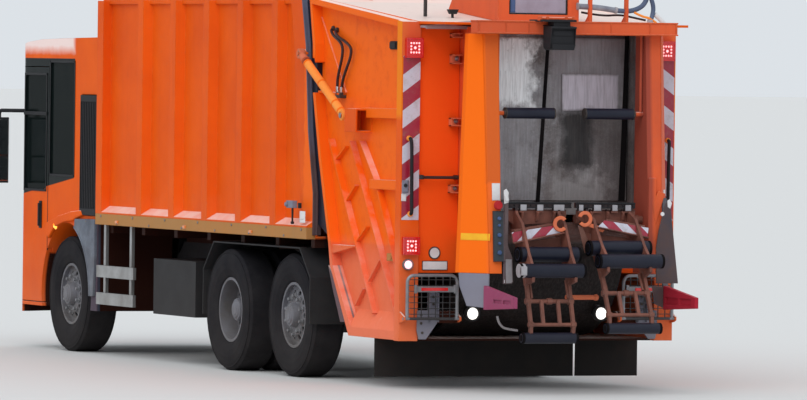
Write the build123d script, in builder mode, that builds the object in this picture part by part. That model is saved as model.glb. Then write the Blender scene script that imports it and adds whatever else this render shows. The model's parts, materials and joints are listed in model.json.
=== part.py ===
"""Three-axle refuse truck: low-entry cab, ribbed body and a rear loader with a split bin lifter.

Millimetres. +X is forward, +Y is left, +Z is up, and the wheels stand on Z = 0.
"""

import os
from math import cos, hypot, radians, sin

from build123d import *

os.makedirs("parts", exist_ok=True)

# Driving dimensions: stations along X
REAR_FACE = -4175
FRONT_AXLE = REAR_FACE + 8165
DRIVE_AXLE = FRONT_AXLE - 4200
TAG_AXLE = DRIVE_AXLE - 1350
CAB_FRONT = REAR_FACE + 9780
CAB_BACK = REAR_FACE + 7350
BODY_FRONT = REAR_FACE + 7270

# Driving dimensions: half widths
HALF_WIDTH = 1255
PANEL_HALF = 1170
CAB_HALF = 1200
FRAME_HALF = 430
HOPPER_HALF = 720

# Driving dimensions: heights
FRAME_TOP = 1050
RAIL_BOTTOM = 1205
RAIL_TOP = 1305
BODY_TOP = 3320
POST_TOP = 3080
TAILGATE_BOTTOM = 410

# Wheels
TYRE_RADIUS = 535
SINGLE_TRACK = 1030
TWIN_TRACKS = (745, 1085)
STEER_PIN_Y = 850
SPINDLE_RADIUS = 45

SHEET = 20
GAP = 8

BOTH_SIDES = {"left": 1, "right": -1}


def block(x, y, z, mode=Mode.ADD):
    """A box between two stations, two widths and two heights."""
    with Locations((sum(x) / 2, sum(y) / 2, sum(z) / 2)):
        Box(x[1] - x[0], y[1] - y[0], z[1] - z[0], mode=mode)


def side_plate(points, y, mode=Mode.ADD):
    """A plate with a side view outline of (x, z) points, between two widths."""
    with BuildSketch(Plane.XZ.offset(-y[1])) as outline:
        with BuildLine():
            Polyline(*points, close=True)
        make_face()
    extrude(outline.sketch, amount=y[1] - y[0], mode=mode)


def plan_plate(points, z, mode=Mode.ADD):
    """A plate with a plan outline of (x, y) points, between two heights."""
    with BuildSketch(Plane.XY.offset(z[0])) as outline:
        with BuildLine():
            Polyline(*points, close=True)
        make_face()
    extrude(outline.sketch, amount=z[1] - z[0], mode=mode)


def cross_plate(points, x, mode=Mode.ADD):
    """A plate with a rear view outline of (y, z) points, between two stations."""
    with BuildSketch(Plane.YZ.offset(x[0])) as outline:
        with BuildLine():
            Polyline(*points, close=True)
        make_face()
    extrude(outline.sketch, amount=x[1] - x[0], mode=mode)


def rod_along(start, end, radius, mode=Mode.ADD):
    """A round bar between two points."""
    path = Vector(*end) - Vector(*start)
    with BuildSketch(Plane(origin=start, z_dir=path)) as section:
        Circle(radius)
    extrude(section.sketch, amount=path.length, mode=mode)


def tube_along(points, radius, bend):
    """A bent round tube through points, with rounded corners."""
    with BuildLine() as route:
        FilletPolyline(*points, radius=bend)
    with BuildSketch(Plane(origin=points[0], z_dir=Vector(*points[1]) - Vector(*points[0]))) as section:
        Circle(radius)
    sweep(section.sketch, path=route.wires()[0])


def save(built, name):
    """Labels a finished piece and writes it."""
    built.part.label = name
    export_step(built.part, f"parts/{name}.step")


def shifted(points, station=REAR_FACE):
    """Outline points given as (distance ahead of the station, height)."""
    return [(station + x, z) for x, z in points]


# Chassis frame: two cranked channels and their crossmembers
FRAME_BACK = REAR_FACE + 1780
FRAME_FRONT = CAB_FRONT - 420
CRANK_BACK = FRONT_AXLE - 1050
CRANK_FRONT = FRONT_AXLE - 700
LOW_FRAME_TOP = 770
CHANNEL_DEPTH = 250
CHANNEL_FLANGE = 75
CHANNEL_WALL = 8
TOW_PIN_X = REAR_FACE + 9680
TOW_PIN_RADIUS = 18
TOW_HEIGHT = (565, 605)
CROSSMEMBER_STATIONS = (
    FRAME_BACK + 90, TAG_AXLE + 675, DRIVE_AXLE + 700, DRIVE_AXLE + 1650, CRANK_BACK - 500, FRAME_FRONT - 90,
)


def rail_outline(inset):
    """The side view of a frame rail, drawn in from its edge."""
    top, low_top = FRAME_TOP - inset, LOW_FRAME_TOP - inset
    foot, low_foot = FRAME_TOP - CHANNEL_DEPTH + inset, LOW_FRAME_TOP - CHANNEL_DEPTH + inset
    back, front = FRAME_BACK - inset, FRAME_FRONT + inset
    return [
        (back, foot), (CRANK_BACK, foot), (CRANK_FRONT, low_foot), (front, low_foot),
        (front, low_top), (CRANK_FRONT, low_top), (CRANK_BACK, top), (back, top),
    ]


with BuildPart() as chassis_frame:
    side_plate(rail_outline(0), (FRAME_HALF - CHANNEL_FLANGE, FRAME_HALF))
    side_plate(
        rail_outline(CHANNEL_WALL),
        (FRAME_HALF - CHANNEL_FLANGE, FRAME_HALF - CHANNEL_WALL),
        mode=Mode.SUBTRACT,
    )
    mirror(about=Plane.XZ)
    for station in CROSSMEMBER_STATIONS:
        low = station > CRANK_FRONT
        centre = (LOW_FRAME_TOP if low else FRAME_TOP) - CHANNEL_DEPTH / 2
        reach = FRAME_HALF - CHANNEL_WALL
        block((station - 40, station + 40), (-reach, reach), (centre - 90, centre + 90))
    # towing lug ahead of the front crossmember, with its pin hole
    block((FRAME_FRONT - 60, TOW_PIN_X + 45), (-50, 50), TOW_HEIGHT)
    rod_along((TOW_PIN_X, 0, TOW_HEIGHT[0] - 1), (TOW_PIN_X, 0, TOW_HEIGHT[1] + 1), TOW_PIN_RADIUS,
              mode=Mode.SUBTRACT)
save(chassis_frame, "chassis_frame")

# Front axle: a drop beam with a boss for each steering pin, and its leaf springs
BOSS_RADIUS = 50
BOSS_HEIGHT = (470, 600)
PIN_RADIUS = 24
SPRING_Y = (FRAME_HALF - 72, FRAME_HALF - 4)
SPRING_REACH = 640

with BuildPart() as front_axle:
    beam = [
        (-STEER_PIN_Y, 480), (-640, 480), (-560, 385), (560, 385), (640, 480), (STEER_PIN_Y, 480),
        (STEER_PIN_Y, 580), (600, 580), (520, 475), (-520, 475), (-600, 580), (-STEER_PIN_Y, 580),
    ]
    cross_plate(beam, (FRONT_AXLE - 45, FRONT_AXLE + 45))
    with BuildSketch(Plane.XY.offset(BOSS_HEIGHT[0])):
        with Locations((FRONT_AXLE, STEER_PIN_Y), (FRONT_AXLE, -STEER_PIN_Y)):
            Circle(BOSS_RADIUS)
    extrude(amount=BOSS_HEIGHT[1] - BOSS_HEIGHT[0])
    for side in BOTH_SIDES.values():
        rod_along(
            (FRONT_AXLE, side * STEER_PIN_Y, BOSS_HEIGHT[0] - 10),
            (FRONT_AXLE, side * STEER_PIN_Y, BOSS_HEIGHT[1] + 10),
            PIN_RADIUS + 1,
            mode=Mode.SUBTRACT,
        )
    with BuildSketch(Plane.XZ.offset(-SPRING_Y[1])) as leaves:
        with BuildLine():
            top = ThreePointArc(
                (FRONT_AXLE - SPRING_REACH, 512), (FRONT_AXLE, 497), (FRONT_AXLE + SPRING_REACH, 512)
            )
            Line(top @ 1, (FRONT_AXLE + SPRING_REACH, 486))
            ThreePointArc(
                (FRONT_AXLE + SPRING_REACH, 486), (FRONT_AXLE, 470), (FRONT_AXLE - SPRING_REACH, 486)
            )
            Line((FRONT_AXLE - SPRING_REACH, 486), top @ 0)
        make_face()
        with Locations((FRONT_AXLE - SPRING_REACH, 503), (FRONT_AXLE + SPRING_REACH, 503)):
            Rectangle(60, 34)
    extrude(amount=SPRING_Y[1] - SPRING_Y[0])
    other_side = Location((0, -SPRING_Y[0] - SPRING_Y[1], 0))
    extrude(leaves.sketch.moved(other_side), amount=SPRING_Y[1] - SPRING_Y[0])
save(front_axle, "front_axle")

# Rear axles: a housing with spindles, a trailing arm and an air bellows on each side
AXLE_TUBE = 70
ARM_REACH = 380
BELLOWS_RADIUS = 105
REAR_SPINDLE = 1120


def rear_axle(station, housing_radius):
    """A rear axle at a station, with a housing at its middle."""
    with BuildPart() as axle:
        rod_along((station, -REAR_SPINDLE, TYRE_RADIUS), (station, REAR_SPINDLE, TYRE_RADIUS), SPINDLE_RADIUS)
        rod_along((station, -560, TYRE_RADIUS), (station, 560, TYRE_RADIUS), AXLE_TUBE)
        rod_along((station, -130, TYRE_RADIUS), (station, 130, TYRE_RADIUS), housing_radius)
        for side in BOTH_SIDES.values():
            middle = side * (FRAME_HALF - 35)
            arm = (middle - 35, middle + 35)
            arm_outline = [
                (station - ARM_REACH, 560), (station - ARM_REACH, 600), (station + ARM_REACH, 640),
                (station + ARM_REACH, 580), (station + 90, 470), (station - 90, 470),
            ]
            side_plate(arm_outline, arm)
            rod_along(
                (station - ARM_REACH + 130, middle, 590),
                (station - ARM_REACH + 130, middle, FRAME_TOP - CHANNEL_DEPTH),
                BELLOWS_RADIUS,
            )
            block((station + ARM_REACH - 70, station + ARM_REACH), arm, (620, FRAME_TOP - CHANNEL_DEPTH))
    return axle


drive_axle = rear_axle(DRIVE_AXLE, 205)
save(drive_axle, "drive_axle")
tag_axle = rear_axle(TAG_AXLE, 85)
save(tag_axle, "tag_axle")

# Engine and gearbox, low between the rails behind the cab floor
with BuildPart() as engine_block:
    block((FRONT_AXLE - 640, FRONT_AXLE + 420), (-330, 330), (600, 1180))
    block((FRONT_AXLE - 1500, FRONT_AXLE - 640), (-240, 240), (640, 1000))
    fillet(engine_block.edges().filter_by(Axis.X), radius=40)
save(engine_block, "engine_block")

# Fuel tank on the right and air and battery box on the left, on brackets from the frame
TANK_SPAN = (DRIVE_AXLE + 850, DRIVE_AXLE + 2250)
TANK_Y = (650, 1190)
BATTERY_SPAN = (DRIVE_AXLE + 900, DRIVE_AXLE + 1950)

with BuildPart() as side_tanks:
    block(TANK_SPAN, (-TANK_Y[1], -TANK_Y[0]), (420, 980))
    fillet(side_tanks.edges().filter_by(Axis.X), radius=90)
    block(BATTERY_SPAN, TANK_Y, (430, 930))
    for offset in (200, 800):
        block((TANK_SPAN[0] + offset, TANK_SPAN[0] + offset + 60), (-TANK_Y[0] - 5, -FRAME_HALF), (820, 900))
        block((BATTERY_SPAN[0] + offset, BATTERY_SPAN[0] + offset + 60), (FRAME_HALF, TANK_Y[0] + 5),
              (820, 900))
save(side_tanks, "side_tanks")

# Side guards: two rails on posts under the body, ahead of the tanks
GUARD_SPAN = (DRIVE_AXLE + 2350, FRONT_AXLE - 900)
GUARD_POSTS = (GUARD_SPAN[0] + 120, GUARD_SPAN[1] - 160)

with BuildPart() as side_guards:
    for height in (470, 720):
        block(GUARD_SPAN, (HALF_WIDTH - 45, HALF_WIDTH - 15), (height, height + 110))
    for station in GUARD_POSTS:
        block((station, station + 50), (HALF_WIDTH - 75, HALF_WIDTH - 45), (470, RAIL_BOTTOM))
    mirror(about=Plane.XZ)
save(side_guards, "side_guards")

# Mudguards over the rear wheels, hung from the body rails
ARCH_RADIUS = 595
ARCH_Y = (600, 1240)
REAR_WHEELS_MIDDLE = (DRIVE_AXLE + TAG_AXLE) / 2


def mudguard_sheet(radius):
    """The side view of a mudguard over one rear axle pair, at a radius."""
    reach = DRIVE_AXLE - REAR_WHEELS_MIDDLE + radius
    top = TYRE_RADIUS + radius
    bend = radius * 0.42
    return [
        (REAR_WHEELS_MIDDLE - reach, TYRE_RADIUS - 60), (REAR_WHEELS_MIDDLE - reach, top - bend),
        (REAR_WHEELS_MIDDLE - reach + bend, top), (REAR_WHEELS_MIDDLE + reach - bend, top),
        (REAR_WHEELS_MIDDLE + reach, top - bend), (REAR_WHEELS_MIDDLE + reach, TYRE_RADIUS - 60),
    ]


with BuildPart() as mudguards:
    side_plate(mudguard_sheet(ARCH_RADIUS), ARCH_Y)
    side_plate(mudguard_sheet(ARCH_RADIUS - 12), (ARCH_Y[0] - 1, ARCH_Y[1] + 1), mode=Mode.SUBTRACT)
    block(
        (REAR_WHEELS_MIDDLE - 1400, REAR_WHEELS_MIDDLE + 1400), (ARCH_Y[0] - 1, ARCH_Y[1] + 1),
        (0, TYRE_RADIUS - 60),
        mode=Mode.SUBTRACT,
    )
    mirror(about=Plane.XZ)
save(mudguards, "mudguards")

# Cab: one closed outline in side view and one in plan, hollow inside
CAB_WALL = 50
CAB_FLOOR = 600
CAB_ROOF = 2925
SKIRT_BOTTOM = 400
BUMPER_TOP = 780
CAB_SIDE_PROFILE = (
    (7350, SKIRT_BOTTOM), (9590, SKIRT_BOTTOM), (9780, 900), (9760, 1430), (9690, 2250),
    (9675, 2720), (9630, 2790), (9520, 2835), (9280, 2875), (8900, 2902), (8300, 2914), (7350, CAB_ROOF),
)


def cab_plan(inset, front_inset):
    """The cab's plan outline, drawn in from its skin, as a face in the active sketch."""
    half = CAB_HALF - inset
    nose = CAB_FRONT - front_inset
    shoulder = REAR_FACE + 9430 - front_inset
    with BuildLine() as outline:
        front = ThreePointArc((shoulder, half), (nose, 0), (shoulder, -half))
        Polyline(front @ 1, (CAB_BACK + inset, -half), (CAB_BACK + inset, half), front @ 0)
    make_face(outline.edges())


def cab_form(inset, roof_drop, floor, back):
    """The cab's closed form, drawn in from its skin by the given walls."""
    with BuildPart() as form:
        with BuildSketch(Plane.XY.offset(floor)) as plan:
            cab_plan(inset, inset)
            fillet(plan.vertices().sort_by(Axis.X)[-2:], radius=180 - inset)
        extrude(amount=CAB_ROOF - floor)
        outline = [
            (REAR_FACE + x - (inset if x > 7350 else 0), z - roof_drop) for x, z in CAB_SIDE_PROFILE[2:]
        ]
        foot = [(back, floor), (REAR_FACE + 9590 - inset, floor)]
        with BuildSketch(Plane.XZ.offset(-CAB_HALF - 1)):
            with BuildLine():
                Polyline(*foot, *outline[:-1], (back, outline[-1][1]), close=True)
            make_face()
        extrude(amount=2 * CAB_HALF + 2, mode=Mode.INTERSECT)
    return form


# Openings in the cab skin: stations ahead of the rear face, and heights
DOOR_SPAN = (8690, 9390)
DOOR_HEIGHT = (440, 2640)
DOOR_WINDOW = ((8750, 9335), (1490, 2570))
SIDE_WINDOW = ((8000, 8650), (1640, 2690))
WINDSCREEN = ((9300, 9800), (1440, 2640))
WINDSCREEN_HALF = 1060
FRONT_ARCH = 660
ARCH_LINER = 20
BUMPER_BACK = REAR_FACE + 9402
CABIN_BACK = REAR_FACE + 7860
ENGINE_TUNNEL_TOP = 1260
STACK_SPAN = (CAB_BACK, REAR_FACE + 7800)
STACK_HEIGHT = (1280, 2390)
GLASS = 14


def span(pair, inset=0):
    """Stations given ahead of the rear face, drawn in at both ends."""
    return (REAR_FACE + pair[0] + inset, REAR_FACE + pair[1] - inset)


cab_skin = cab_form(0, 0, SKIRT_BOTTOM, CAB_BACK)
cab_room = cab_form(CAB_WALL, CAB_WALL, CAB_FLOOR, CABIN_BACK)
glass_outside = cab_form(12, 12, SKIRT_BOTTOM, CAB_BACK)
glass_inside = cab_form(12 + GLASS, 12 + GLASS, SKIRT_BOTTOM, CAB_BACK)

with BuildPart() as arch_liners:
    for side in BOTH_SIDES.values():
        rod_along((FRONT_AXLE, side * 520, TYRE_RADIUS), (FRONT_AXLE, side * (CAB_HALF - 5), TYRE_RADIUS),
                  FRONT_ARCH + ARCH_LINER)
    add(cab_skin.part, mode=Mode.INTERSECT)

with BuildPart() as front_bulkhead:
    block((BUMPER_BACK - 20, BUMPER_BACK), (-CAB_HALF, CAB_HALF), (CAB_FLOOR - 40, BUMPER_TOP + 20))
    block((FRAME_FRONT, BUMPER_BACK), (-460, 460), (CAB_FLOOR - 41, LOW_FRAME_TOP + 30), mode=Mode.SUBTRACT)
    block((BUMPER_BACK - 20, CAB_FRONT), (-CAB_HALF, CAB_HALF), (BUMPER_TOP, BUMPER_TOP + 20))
    add(cab_skin.part, mode=Mode.INTERSECT)

with BuildPart() as cab_shell:
    add(cab_skin.part)
    add(cab_room.part, mode=Mode.SUBTRACT)
    # open below, between the skirts
    block((CAB_BACK + 40, BUMPER_BACK), (40 - CAB_HALF, CAB_HALF - 40), (SKIRT_BOTTOM - 1, CAB_FLOOR - 40),
          mode=Mode.SUBTRACT)
    # the frame and gearbox pass through the back wall
    block((CAB_BACK - 1, CAB_BACK + 41), (-460, 460), (SKIRT_BOTTOM - 1, FRAME_TOP + 20), mode=Mode.SUBTRACT)
    # the engine bay behind the cabin, open below
    block((CAB_BACK + 40, CABIN_BACK - 40), (-760, 760), (SKIRT_BOTTOM - 1, 2300), mode=Mode.SUBTRACT)
    # the engine's tunnel through the cabin floor
    block((CABIN_BACK - 45, FRONT_AXLE + 480), (-390, 390), (CAB_FLOOR - 1, ENGINE_TUNNEL_TOP + 30))
    block((CABIN_BACK - 60, FRONT_AXLE + 440), (-350, 350), (SKIRT_BOTTOM - 1, ENGINE_TUNNEL_TOP),
          mode=Mode.SUBTRACT)
    # the low frame passes under a raised stretch of floor
    block((FRONT_AXLE + 440, BUMPER_BACK), (-500, 500), (CAB_FLOOR - 1, LOW_FRAME_TOP + 70))
    block((CAB_BACK - 1, BUMPER_BACK + 1), (-460, 460), (SKIRT_BOTTOM - 1, LOW_FRAME_TOP + 30),
          mode=Mode.SUBTRACT)
    # the bumper's place
    block((BUMPER_BACK, CAB_FRONT + 1), (-CAB_HALF, CAB_HALF), (SKIRT_BOTTOM - 1, BUMPER_TOP),
          mode=Mode.SUBTRACT)
    add(arch_liners.part)
    add(front_bulkhead.part)
    # the axle's beam passes between the arches
    block((FRONT_AXLE - 130, FRONT_AXLE + 130), (-545, 545), (SKIRT_BOTTOM - 1, CAB_FLOOR + 50),
          mode=Mode.SUBTRACT)
    # the front windscreen
    block(span(WINDSCREEN[0]), (-WINDSCREEN_HALF, WINDSCREEN_HALF), WINDSCREEN[1], mode=Mode.SUBTRACT)
    for side in BOTH_SIDES.values():
        skin = sorted((side * (CAB_HALF - CAB_WALL - 1), side * (CAB_HALF + 1)))
        block(span(SIDE_WINDOW[0]), skin, SIDE_WINDOW[1], mode=Mode.SUBTRACT)
        block(span(DOOR_SPAN, -GAP), skin, (DOOR_HEIGHT[0] - GAP, DOOR_HEIGHT[1] + GAP), mode=Mode.SUBTRACT)
        arch = sorted((side * 540, side * (CAB_HALF + 1)))
        rod_along((FRONT_AXLE, arch[0], TYRE_RADIUS), (FRONT_AXLE, arch[1], TYRE_RADIUS), FRONT_ARCH,
                  mode=Mode.SUBTRACT)
    # the intake stack's corner
    block((STACK_SPAN[0] - 1, STACK_SPAN[1] + 5), (960, CAB_HALF + 1),
          (STACK_HEIGHT[0] - 5, STACK_HEIGHT[1] + 5),
          mode=Mode.SUBTRACT)
save(cab_shell, "cab_shell")

with BuildPart() as glass_skin:
    add(glass_outside.part)
    add(glass_inside.part, mode=Mode.SUBTRACT)

with BuildPart() as panes:
    block(span(WINDSCREEN[0]), (-WINDSCREEN_HALF, WINDSCREEN_HALF), WINDSCREEN[1])
    block(span(SIDE_WINDOW[0]), (-CAB_HALF, -CAB_HALF + CAB_WALL), SIDE_WINDOW[1])
    block(span(SIDE_WINDOW[0]), (CAB_HALF - CAB_WALL, CAB_HALF), SIDE_WINDOW[1])

with BuildPart() as cab_glass:
    add(glass_skin.part)
    add(panes.part, mode=Mode.INTERSECT)
save(cab_glass, "cab_glass")

# Doors: each fills its opening, hinged at its front edge
doors = {}
for name, side in BOTH_SIDES.items():
    skin = sorted((side * (CAB_HALF - CAB_WALL), side * CAB_HALF))
    with BuildPart() as door:
        block(span(DOOR_SPAN), skin, DOOR_HEIGHT)
        rod_along((FRONT_AXLE, side * 1000, TYRE_RADIUS), (FRONT_AXLE, side * (CAB_HALF + 1), TYRE_RADIUS),
                  FRONT_ARCH + GAP, mode=Mode.SUBTRACT)
        with BuildSketch(Plane.XZ.offset(-skin[1] - 1)):
            with Locations((REAR_FACE + sum(DOOR_WINDOW[0]) / 2, sum(DOOR_WINDOW[1]) / 2)):
                RectangleRounded(DOOR_WINDOW[0][1] - DOOR_WINDOW[0][0],
                                 DOOR_WINDOW[1][1] - DOOR_WINDOW[1][0], 60)
        extrude(amount=CAB_WALL + 2, mode=Mode.SUBTRACT)
        add(cab_skin.part, mode=Mode.INTERSECT)
    save(door, f"door_{name}")
    pane_y = sorted((side * (CAB_HALF - 12 - GLASS), side * (CAB_HALF - 12)))
    with BuildPart() as door_glass:
        with BuildSketch(Plane.XZ.offset(-pane_y[1])):
            with Locations((REAR_FACE + sum(DOOR_WINDOW[0]) / 2, sum(DOOR_WINDOW[1]) / 2)):
                RectangleRounded(DOOR_WINDOW[0][1] - DOOR_WINDOW[0][0],
                                 DOOR_WINDOW[1][1] - DOOR_WINDOW[1][0], 60)
        extrude(amount=GLASS)
    save(door_glass, f"door_glass_{name}")

# Bumper across the cab's lower front, with a place for each headlamp
BUMPER_BOTTOM = 330
LAMP_Y = (780, 1080)
LAMP_HEIGHT = (500, 660)
bumper_skin = cab_form(0, 0, BUMPER_BOTTOM, CAB_BACK)
bumper_room = cab_form(CAB_WALL, 0, BUMPER_BOTTOM, CAB_BACK)

with BuildPart() as bumper_zone:
    block((BUMPER_BACK, CAB_FRONT + 1), (-CAB_HALF, CAB_HALF), (BUMPER_BOTTOM, BUMPER_TOP - 5))

with BuildPart() as front_bumper:
    add(bumper_skin.part)
    add(bumper_room.part, mode=Mode.SUBTRACT)
    add(bumper_zone.part, mode=Mode.INTERSECT)
    for side in BOTH_SIDES.values():
        lamp = sorted((side * LAMP_Y[0], side * LAMP_Y[1]))
        block((BUMPER_BACK, CAB_FRONT), lamp, LAMP_HEIGHT, mode=Mode.SUBTRACT)
    # the towing lug's opening
    block((BUMPER_BACK + 100, CAB_FRONT + 1), (-95, 95), (TOW_HEIGHT[0] - 45, TOW_HEIGHT[1] + 45),
          mode=Mode.SUBTRACT)
save(front_bumper, "front_bumper")

with BuildPart() as lamp_zone:
    for side in BOTH_SIDES.values():
        lamp = sorted((side * LAMP_Y[0], side * LAMP_Y[1]))
        block((BUMPER_BACK, CAB_FRONT), lamp, LAMP_HEIGHT)

with BuildPart() as headlamps:
    add(bumper_skin.part)
    add(bumper_room.part, mode=Mode.SUBTRACT)
    add(lamp_zone.part, mode=Mode.INTERSECT)
save(headlamps, "headlamps")

# Mirrors: an arm ahead of each door carries a tall head
MIRROR_X = REAR_FACE + 9580
with BuildPart() as mirrors:
    block((MIRROR_X - 60, MIRROR_X + 30), (1290, 1470), (1540, 2160))
    fillet(mirrors.edges().filter_by(Axis.Z), radius=25)
    arm_z = 2225
    tube_along([(REAR_FACE + 9442, 1170, arm_z), (REAR_FACE + 9490, 1270, arm_z),
                (MIRROR_X - 15, 1380, arm_z),
                (MIRROR_X - 15, 1380, 2120)], 18, 30)
    mirror(about=Plane.XZ)
save(mirrors, "mirrors")

# Intake stack behind the cab's left corner, with upright slats
STACK_SLATS = 9
with BuildPart() as intake_stack:
    block(STACK_SPAN, (970, HALF_WIDTH - 30), STACK_HEIGHT)
    fillet(intake_stack.edges().filter_by(Axis.Z), radius=25)
    pitch = (STACK_SPAN[1] - STACK_SPAN[0] - 90) / (STACK_SLATS - 1)
    for i in range(STACK_SLATS):
        middle = STACK_SPAN[0] + 45 + i * pitch
        block((middle - 14, middle + 14), (HALF_WIDTH - 60, HALF_WIDTH),
              (STACK_HEIGHT[0] + 60, STACK_HEIGHT[1] - 60),
              mode=Mode.SUBTRACT)
save(intake_stack, "intake_stack")

# Seats and dashboard
SEAT_MIDDLES = (760, -620, -965)
SEAT_HALF = 165
SEAT_OUTLINE = ((9080, 1220), (9100, 1320), (8640, 1330), (8520, 2080), (8420, 2080), (8500, 1220))

with BuildPart() as seats:
    for middle in SEAT_MIDDLES:
        side_plate(shifted(SEAT_OUTLINE), (middle - SEAT_HALF, middle + SEAT_HALF))
        block((REAR_FACE + 8870, REAR_FACE + 9060), (middle - 100, middle + 100), (CAB_FLOOR, 1221))
save(seats, "seats")

WHEEL_CENTRE = Vector(REAR_FACE + 9160, 760, 1500)
DASH_OUTLINE = ((9270, 980), (9700, 980), (9700, 1380), (9480, 1410), (9300, 1330))
dash_room = cab_form(CAB_WALL + 4, CAB_WALL + 4, CAB_FLOOR + 4, CABIN_BACK + 4)

with BuildPart() as dash_block:
    side_plate(shifted(DASH_OUTLINE), (-1060, 1060))
    add(dash_room.part, mode=Mode.INTERSECT)

with BuildPart() as dashboard:
    add(dash_block.part)
    rod_along(tuple(WHEEL_CENTRE), (REAR_FACE + 9350, 760, 1300), 35)
    with BuildSketch(Plane(origin=WHEEL_CENTRE, z_dir=(-0.68, 0, 0.73))):
        Circle(225)
        Circle(190, mode=Mode.SUBTRACT)
        Rectangle(400, 40)
        Circle(60)
    extrude(amount=30)
save(dashboard, "dashboard")

# Body: a ribbed container on cross bearers, its back edge sloping to meet the tailgate
BODY_BACK = ((2392, BODY_TOP), (2278, 2866), (2202, 2130), (2075, 1600), (2075, RAIL_BOTTOM))
RIB_WIDTH = 180
RIB_SLOPE = 24
RIB_PITCH = 820
RIB_BACK_STATIONS = [REAR_FACE + 2790 + i * RIB_PITCH for i in range(5)]
POST_WIDTH = 270
RAILS_BACK = 2085
ROOF_SHEET = 25
HINGE = (REAR_FACE + 2300, 3330)
HINGE_MIDDLES = (-700, 700)
HINGE_PIN = 14
FORK_HALF = 30
FORK_CHEEK = 14
LIP_HALF = 1000

# Tailgate cylinders: where each barrel turns on the tailgate and each rod on the body
CYLINDER_Y = 1243
BARREL_PIN = (REAR_FACE + 1300, 2280)
ROD_PIN = (REAR_FACE + 2290, 2800)
BARREL_RADIUS = 37
BARREL_LENGTH = 940
ROD_RADIUS = 20
PIVOT_RADIUS = 17


def at_hinge(y):
    """A point on the tailgate's hinge line."""
    return (HINGE[0], y, HINGE[1])


def body_outline(inset, back_inset):
    """The body's side view, drawn in from its skin."""
    back = [(REAR_FACE + x + back_inset, z) for x, z in BODY_BACK]
    back[0] = (back[0][0], BODY_TOP - inset)
    back[-1] = (back[-1][0], RAIL_BOTTOM + inset)
    return [*back, (BODY_FRONT - inset, RAIL_BOTTOM + inset), (BODY_FRONT - inset, BODY_TOP - inset)]


with BuildPart() as body_shell:
    side_plate(body_outline(0, 0), (-PANEL_HALF, PANEL_HALF))
    side_plate(body_outline(ROOF_SHEET, -60), (-PANEL_HALF + SHEET, PANEL_HALF - SHEET), mode=Mode.SUBTRACT)
    for side in BOTH_SIDES.values():
        skin = sorted((side * (PANEL_HALF - 5), side * HALF_WIDTH))
        proud = sorted((side * (PANEL_HALF - 5), side * (PANEL_HALF + 30)))
        for back in RIB_BACK_STATIONS:
            section = [
                (back - 8, side * (PANEL_HALF - 5)), (back + RIB_SLOPE, side * HALF_WIDTH),
                (back + RIB_WIDTH - RIB_SLOPE, side * HALF_WIDTH),
                (back + RIB_WIDTH + 8, side * (PANEL_HALF - 5)),
            ]
            plan_plate(section, (RAIL_TOP, BODY_TOP - 60))
        block((BODY_FRONT - 150, BODY_FRONT), skin, (RAIL_TOP, BODY_TOP - 60))
        # top rail, ledge over the bottom rail and the sloping rear post
        block((REAR_FACE + 2400, BODY_FRONT), proud, (BODY_TOP - 90, BODY_TOP))
        ledge = [
            (side * (PANEL_HALF - 5), RAIL_TOP), (side * HALF_WIDTH, RAIL_TOP),
            (side * HALF_WIDTH, RAIL_TOP + 15),
            (side * (PANEL_HALF - 5), RAIL_TOP + 75),
        ]
        cross_plate(ledge, (REAR_FACE + RAILS_BACK, BODY_FRONT))
        back_edge = [*BODY_BACK[:-1], (BODY_BACK[-1][0], RAIL_TOP)]
        front_edge = [(x + POST_WIDTH, z) for x, z in back_edge[::-1]]
        side_plate(shifted([*back_edge, *front_edge]), proud)
    # floor lip reaching back over the end of the tailgate's ramp
    block((REAR_FACE + 1715, REAR_FACE + 2100), (-LIP_HALF, LIP_HALF), (RAIL_BOTTOM, RAIL_BOTTOM + SHEET))
    # hinge forks on the roof, with their pins
    fork = [
        (2590, BODY_TOP - 2), (2440, BODY_TOP - 2), (2300, 3302), (2270, 3330), (2300, 3360), (2350, 3362),
    ]
    for middle in HINGE_MIDDLES:
        for inner in (middle - FORK_HALF, middle + FORK_HALF - FORK_CHEEK):
            side_plate(shifted(fork), (inner, inner + FORK_CHEEK))
        rod_along(at_hinge(middle - FORK_HALF), at_hinge(middle + FORK_HALF), HINGE_PIN)
    # bosses behind the lift rods' eyes
    for side in BOTH_SIDES.values():
        rod_along((ROD_PIN[0], side * (PANEL_HALF + 20), ROD_PIN[1]),
                  (ROD_PIN[0], side * (CYLINDER_Y - 30), ROD_PIN[1]), 38)
    for station in [REAR_FACE + 2100 + i * RIB_PITCH for i in range(7)]:
        block((station, station + 80), (-PANEL_HALF, PANEL_HALF), (RAIL_BOTTOM - 75, RAIL_BOTTOM))
    for side in BOTH_SIDES.values():
        runner = sorted((side * (FRAME_HALF - 80), side * FRAME_HALF))
        block((FRAME_BACK, CRANK_BACK - 50), runner, (FRAME_TOP, RAIL_BOTTOM))
save(body_shell, "body_shell")

with BuildPart() as body_rails:
    block((REAR_FACE + RAILS_BACK, BODY_FRONT), (PANEL_HALF, HALF_WIDTH), (RAIL_BOTTOM, RAIL_TOP))
    mirror(about=Plane.XZ)
save(body_rails, "body_rails")

# Tailgate: framed side walls and a roof, open to the body and at the back
TAILGATE_FRONT = (
    (2216, 3285), (2128, 2886), (2113, 2466), (1960, 1900), (1719, 1182), (1675, 995),
    (1240, TAILGATE_BOTTOM),
)
FRAME_OUT = 1200
WALL_OUT = 1110
WALL_IN = 1090
FLANGE = 55
POST_DEPTH = 110
POST_IN = 1085
TROUGH_CENTRE = (750, 1400)
TROUGH_RADIUS = 970
SILL = (-590, 1420)
STEP_HINGE = (REAR_FACE - 80, 600)
STEP_Y = (764, 1215)
STEP_LUG = 16
STEP_LUGS = (STEP_Y[0] - 36, STEP_Y[1] + 20)
FIN = 14
FIN_OUT = 1168


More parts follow.
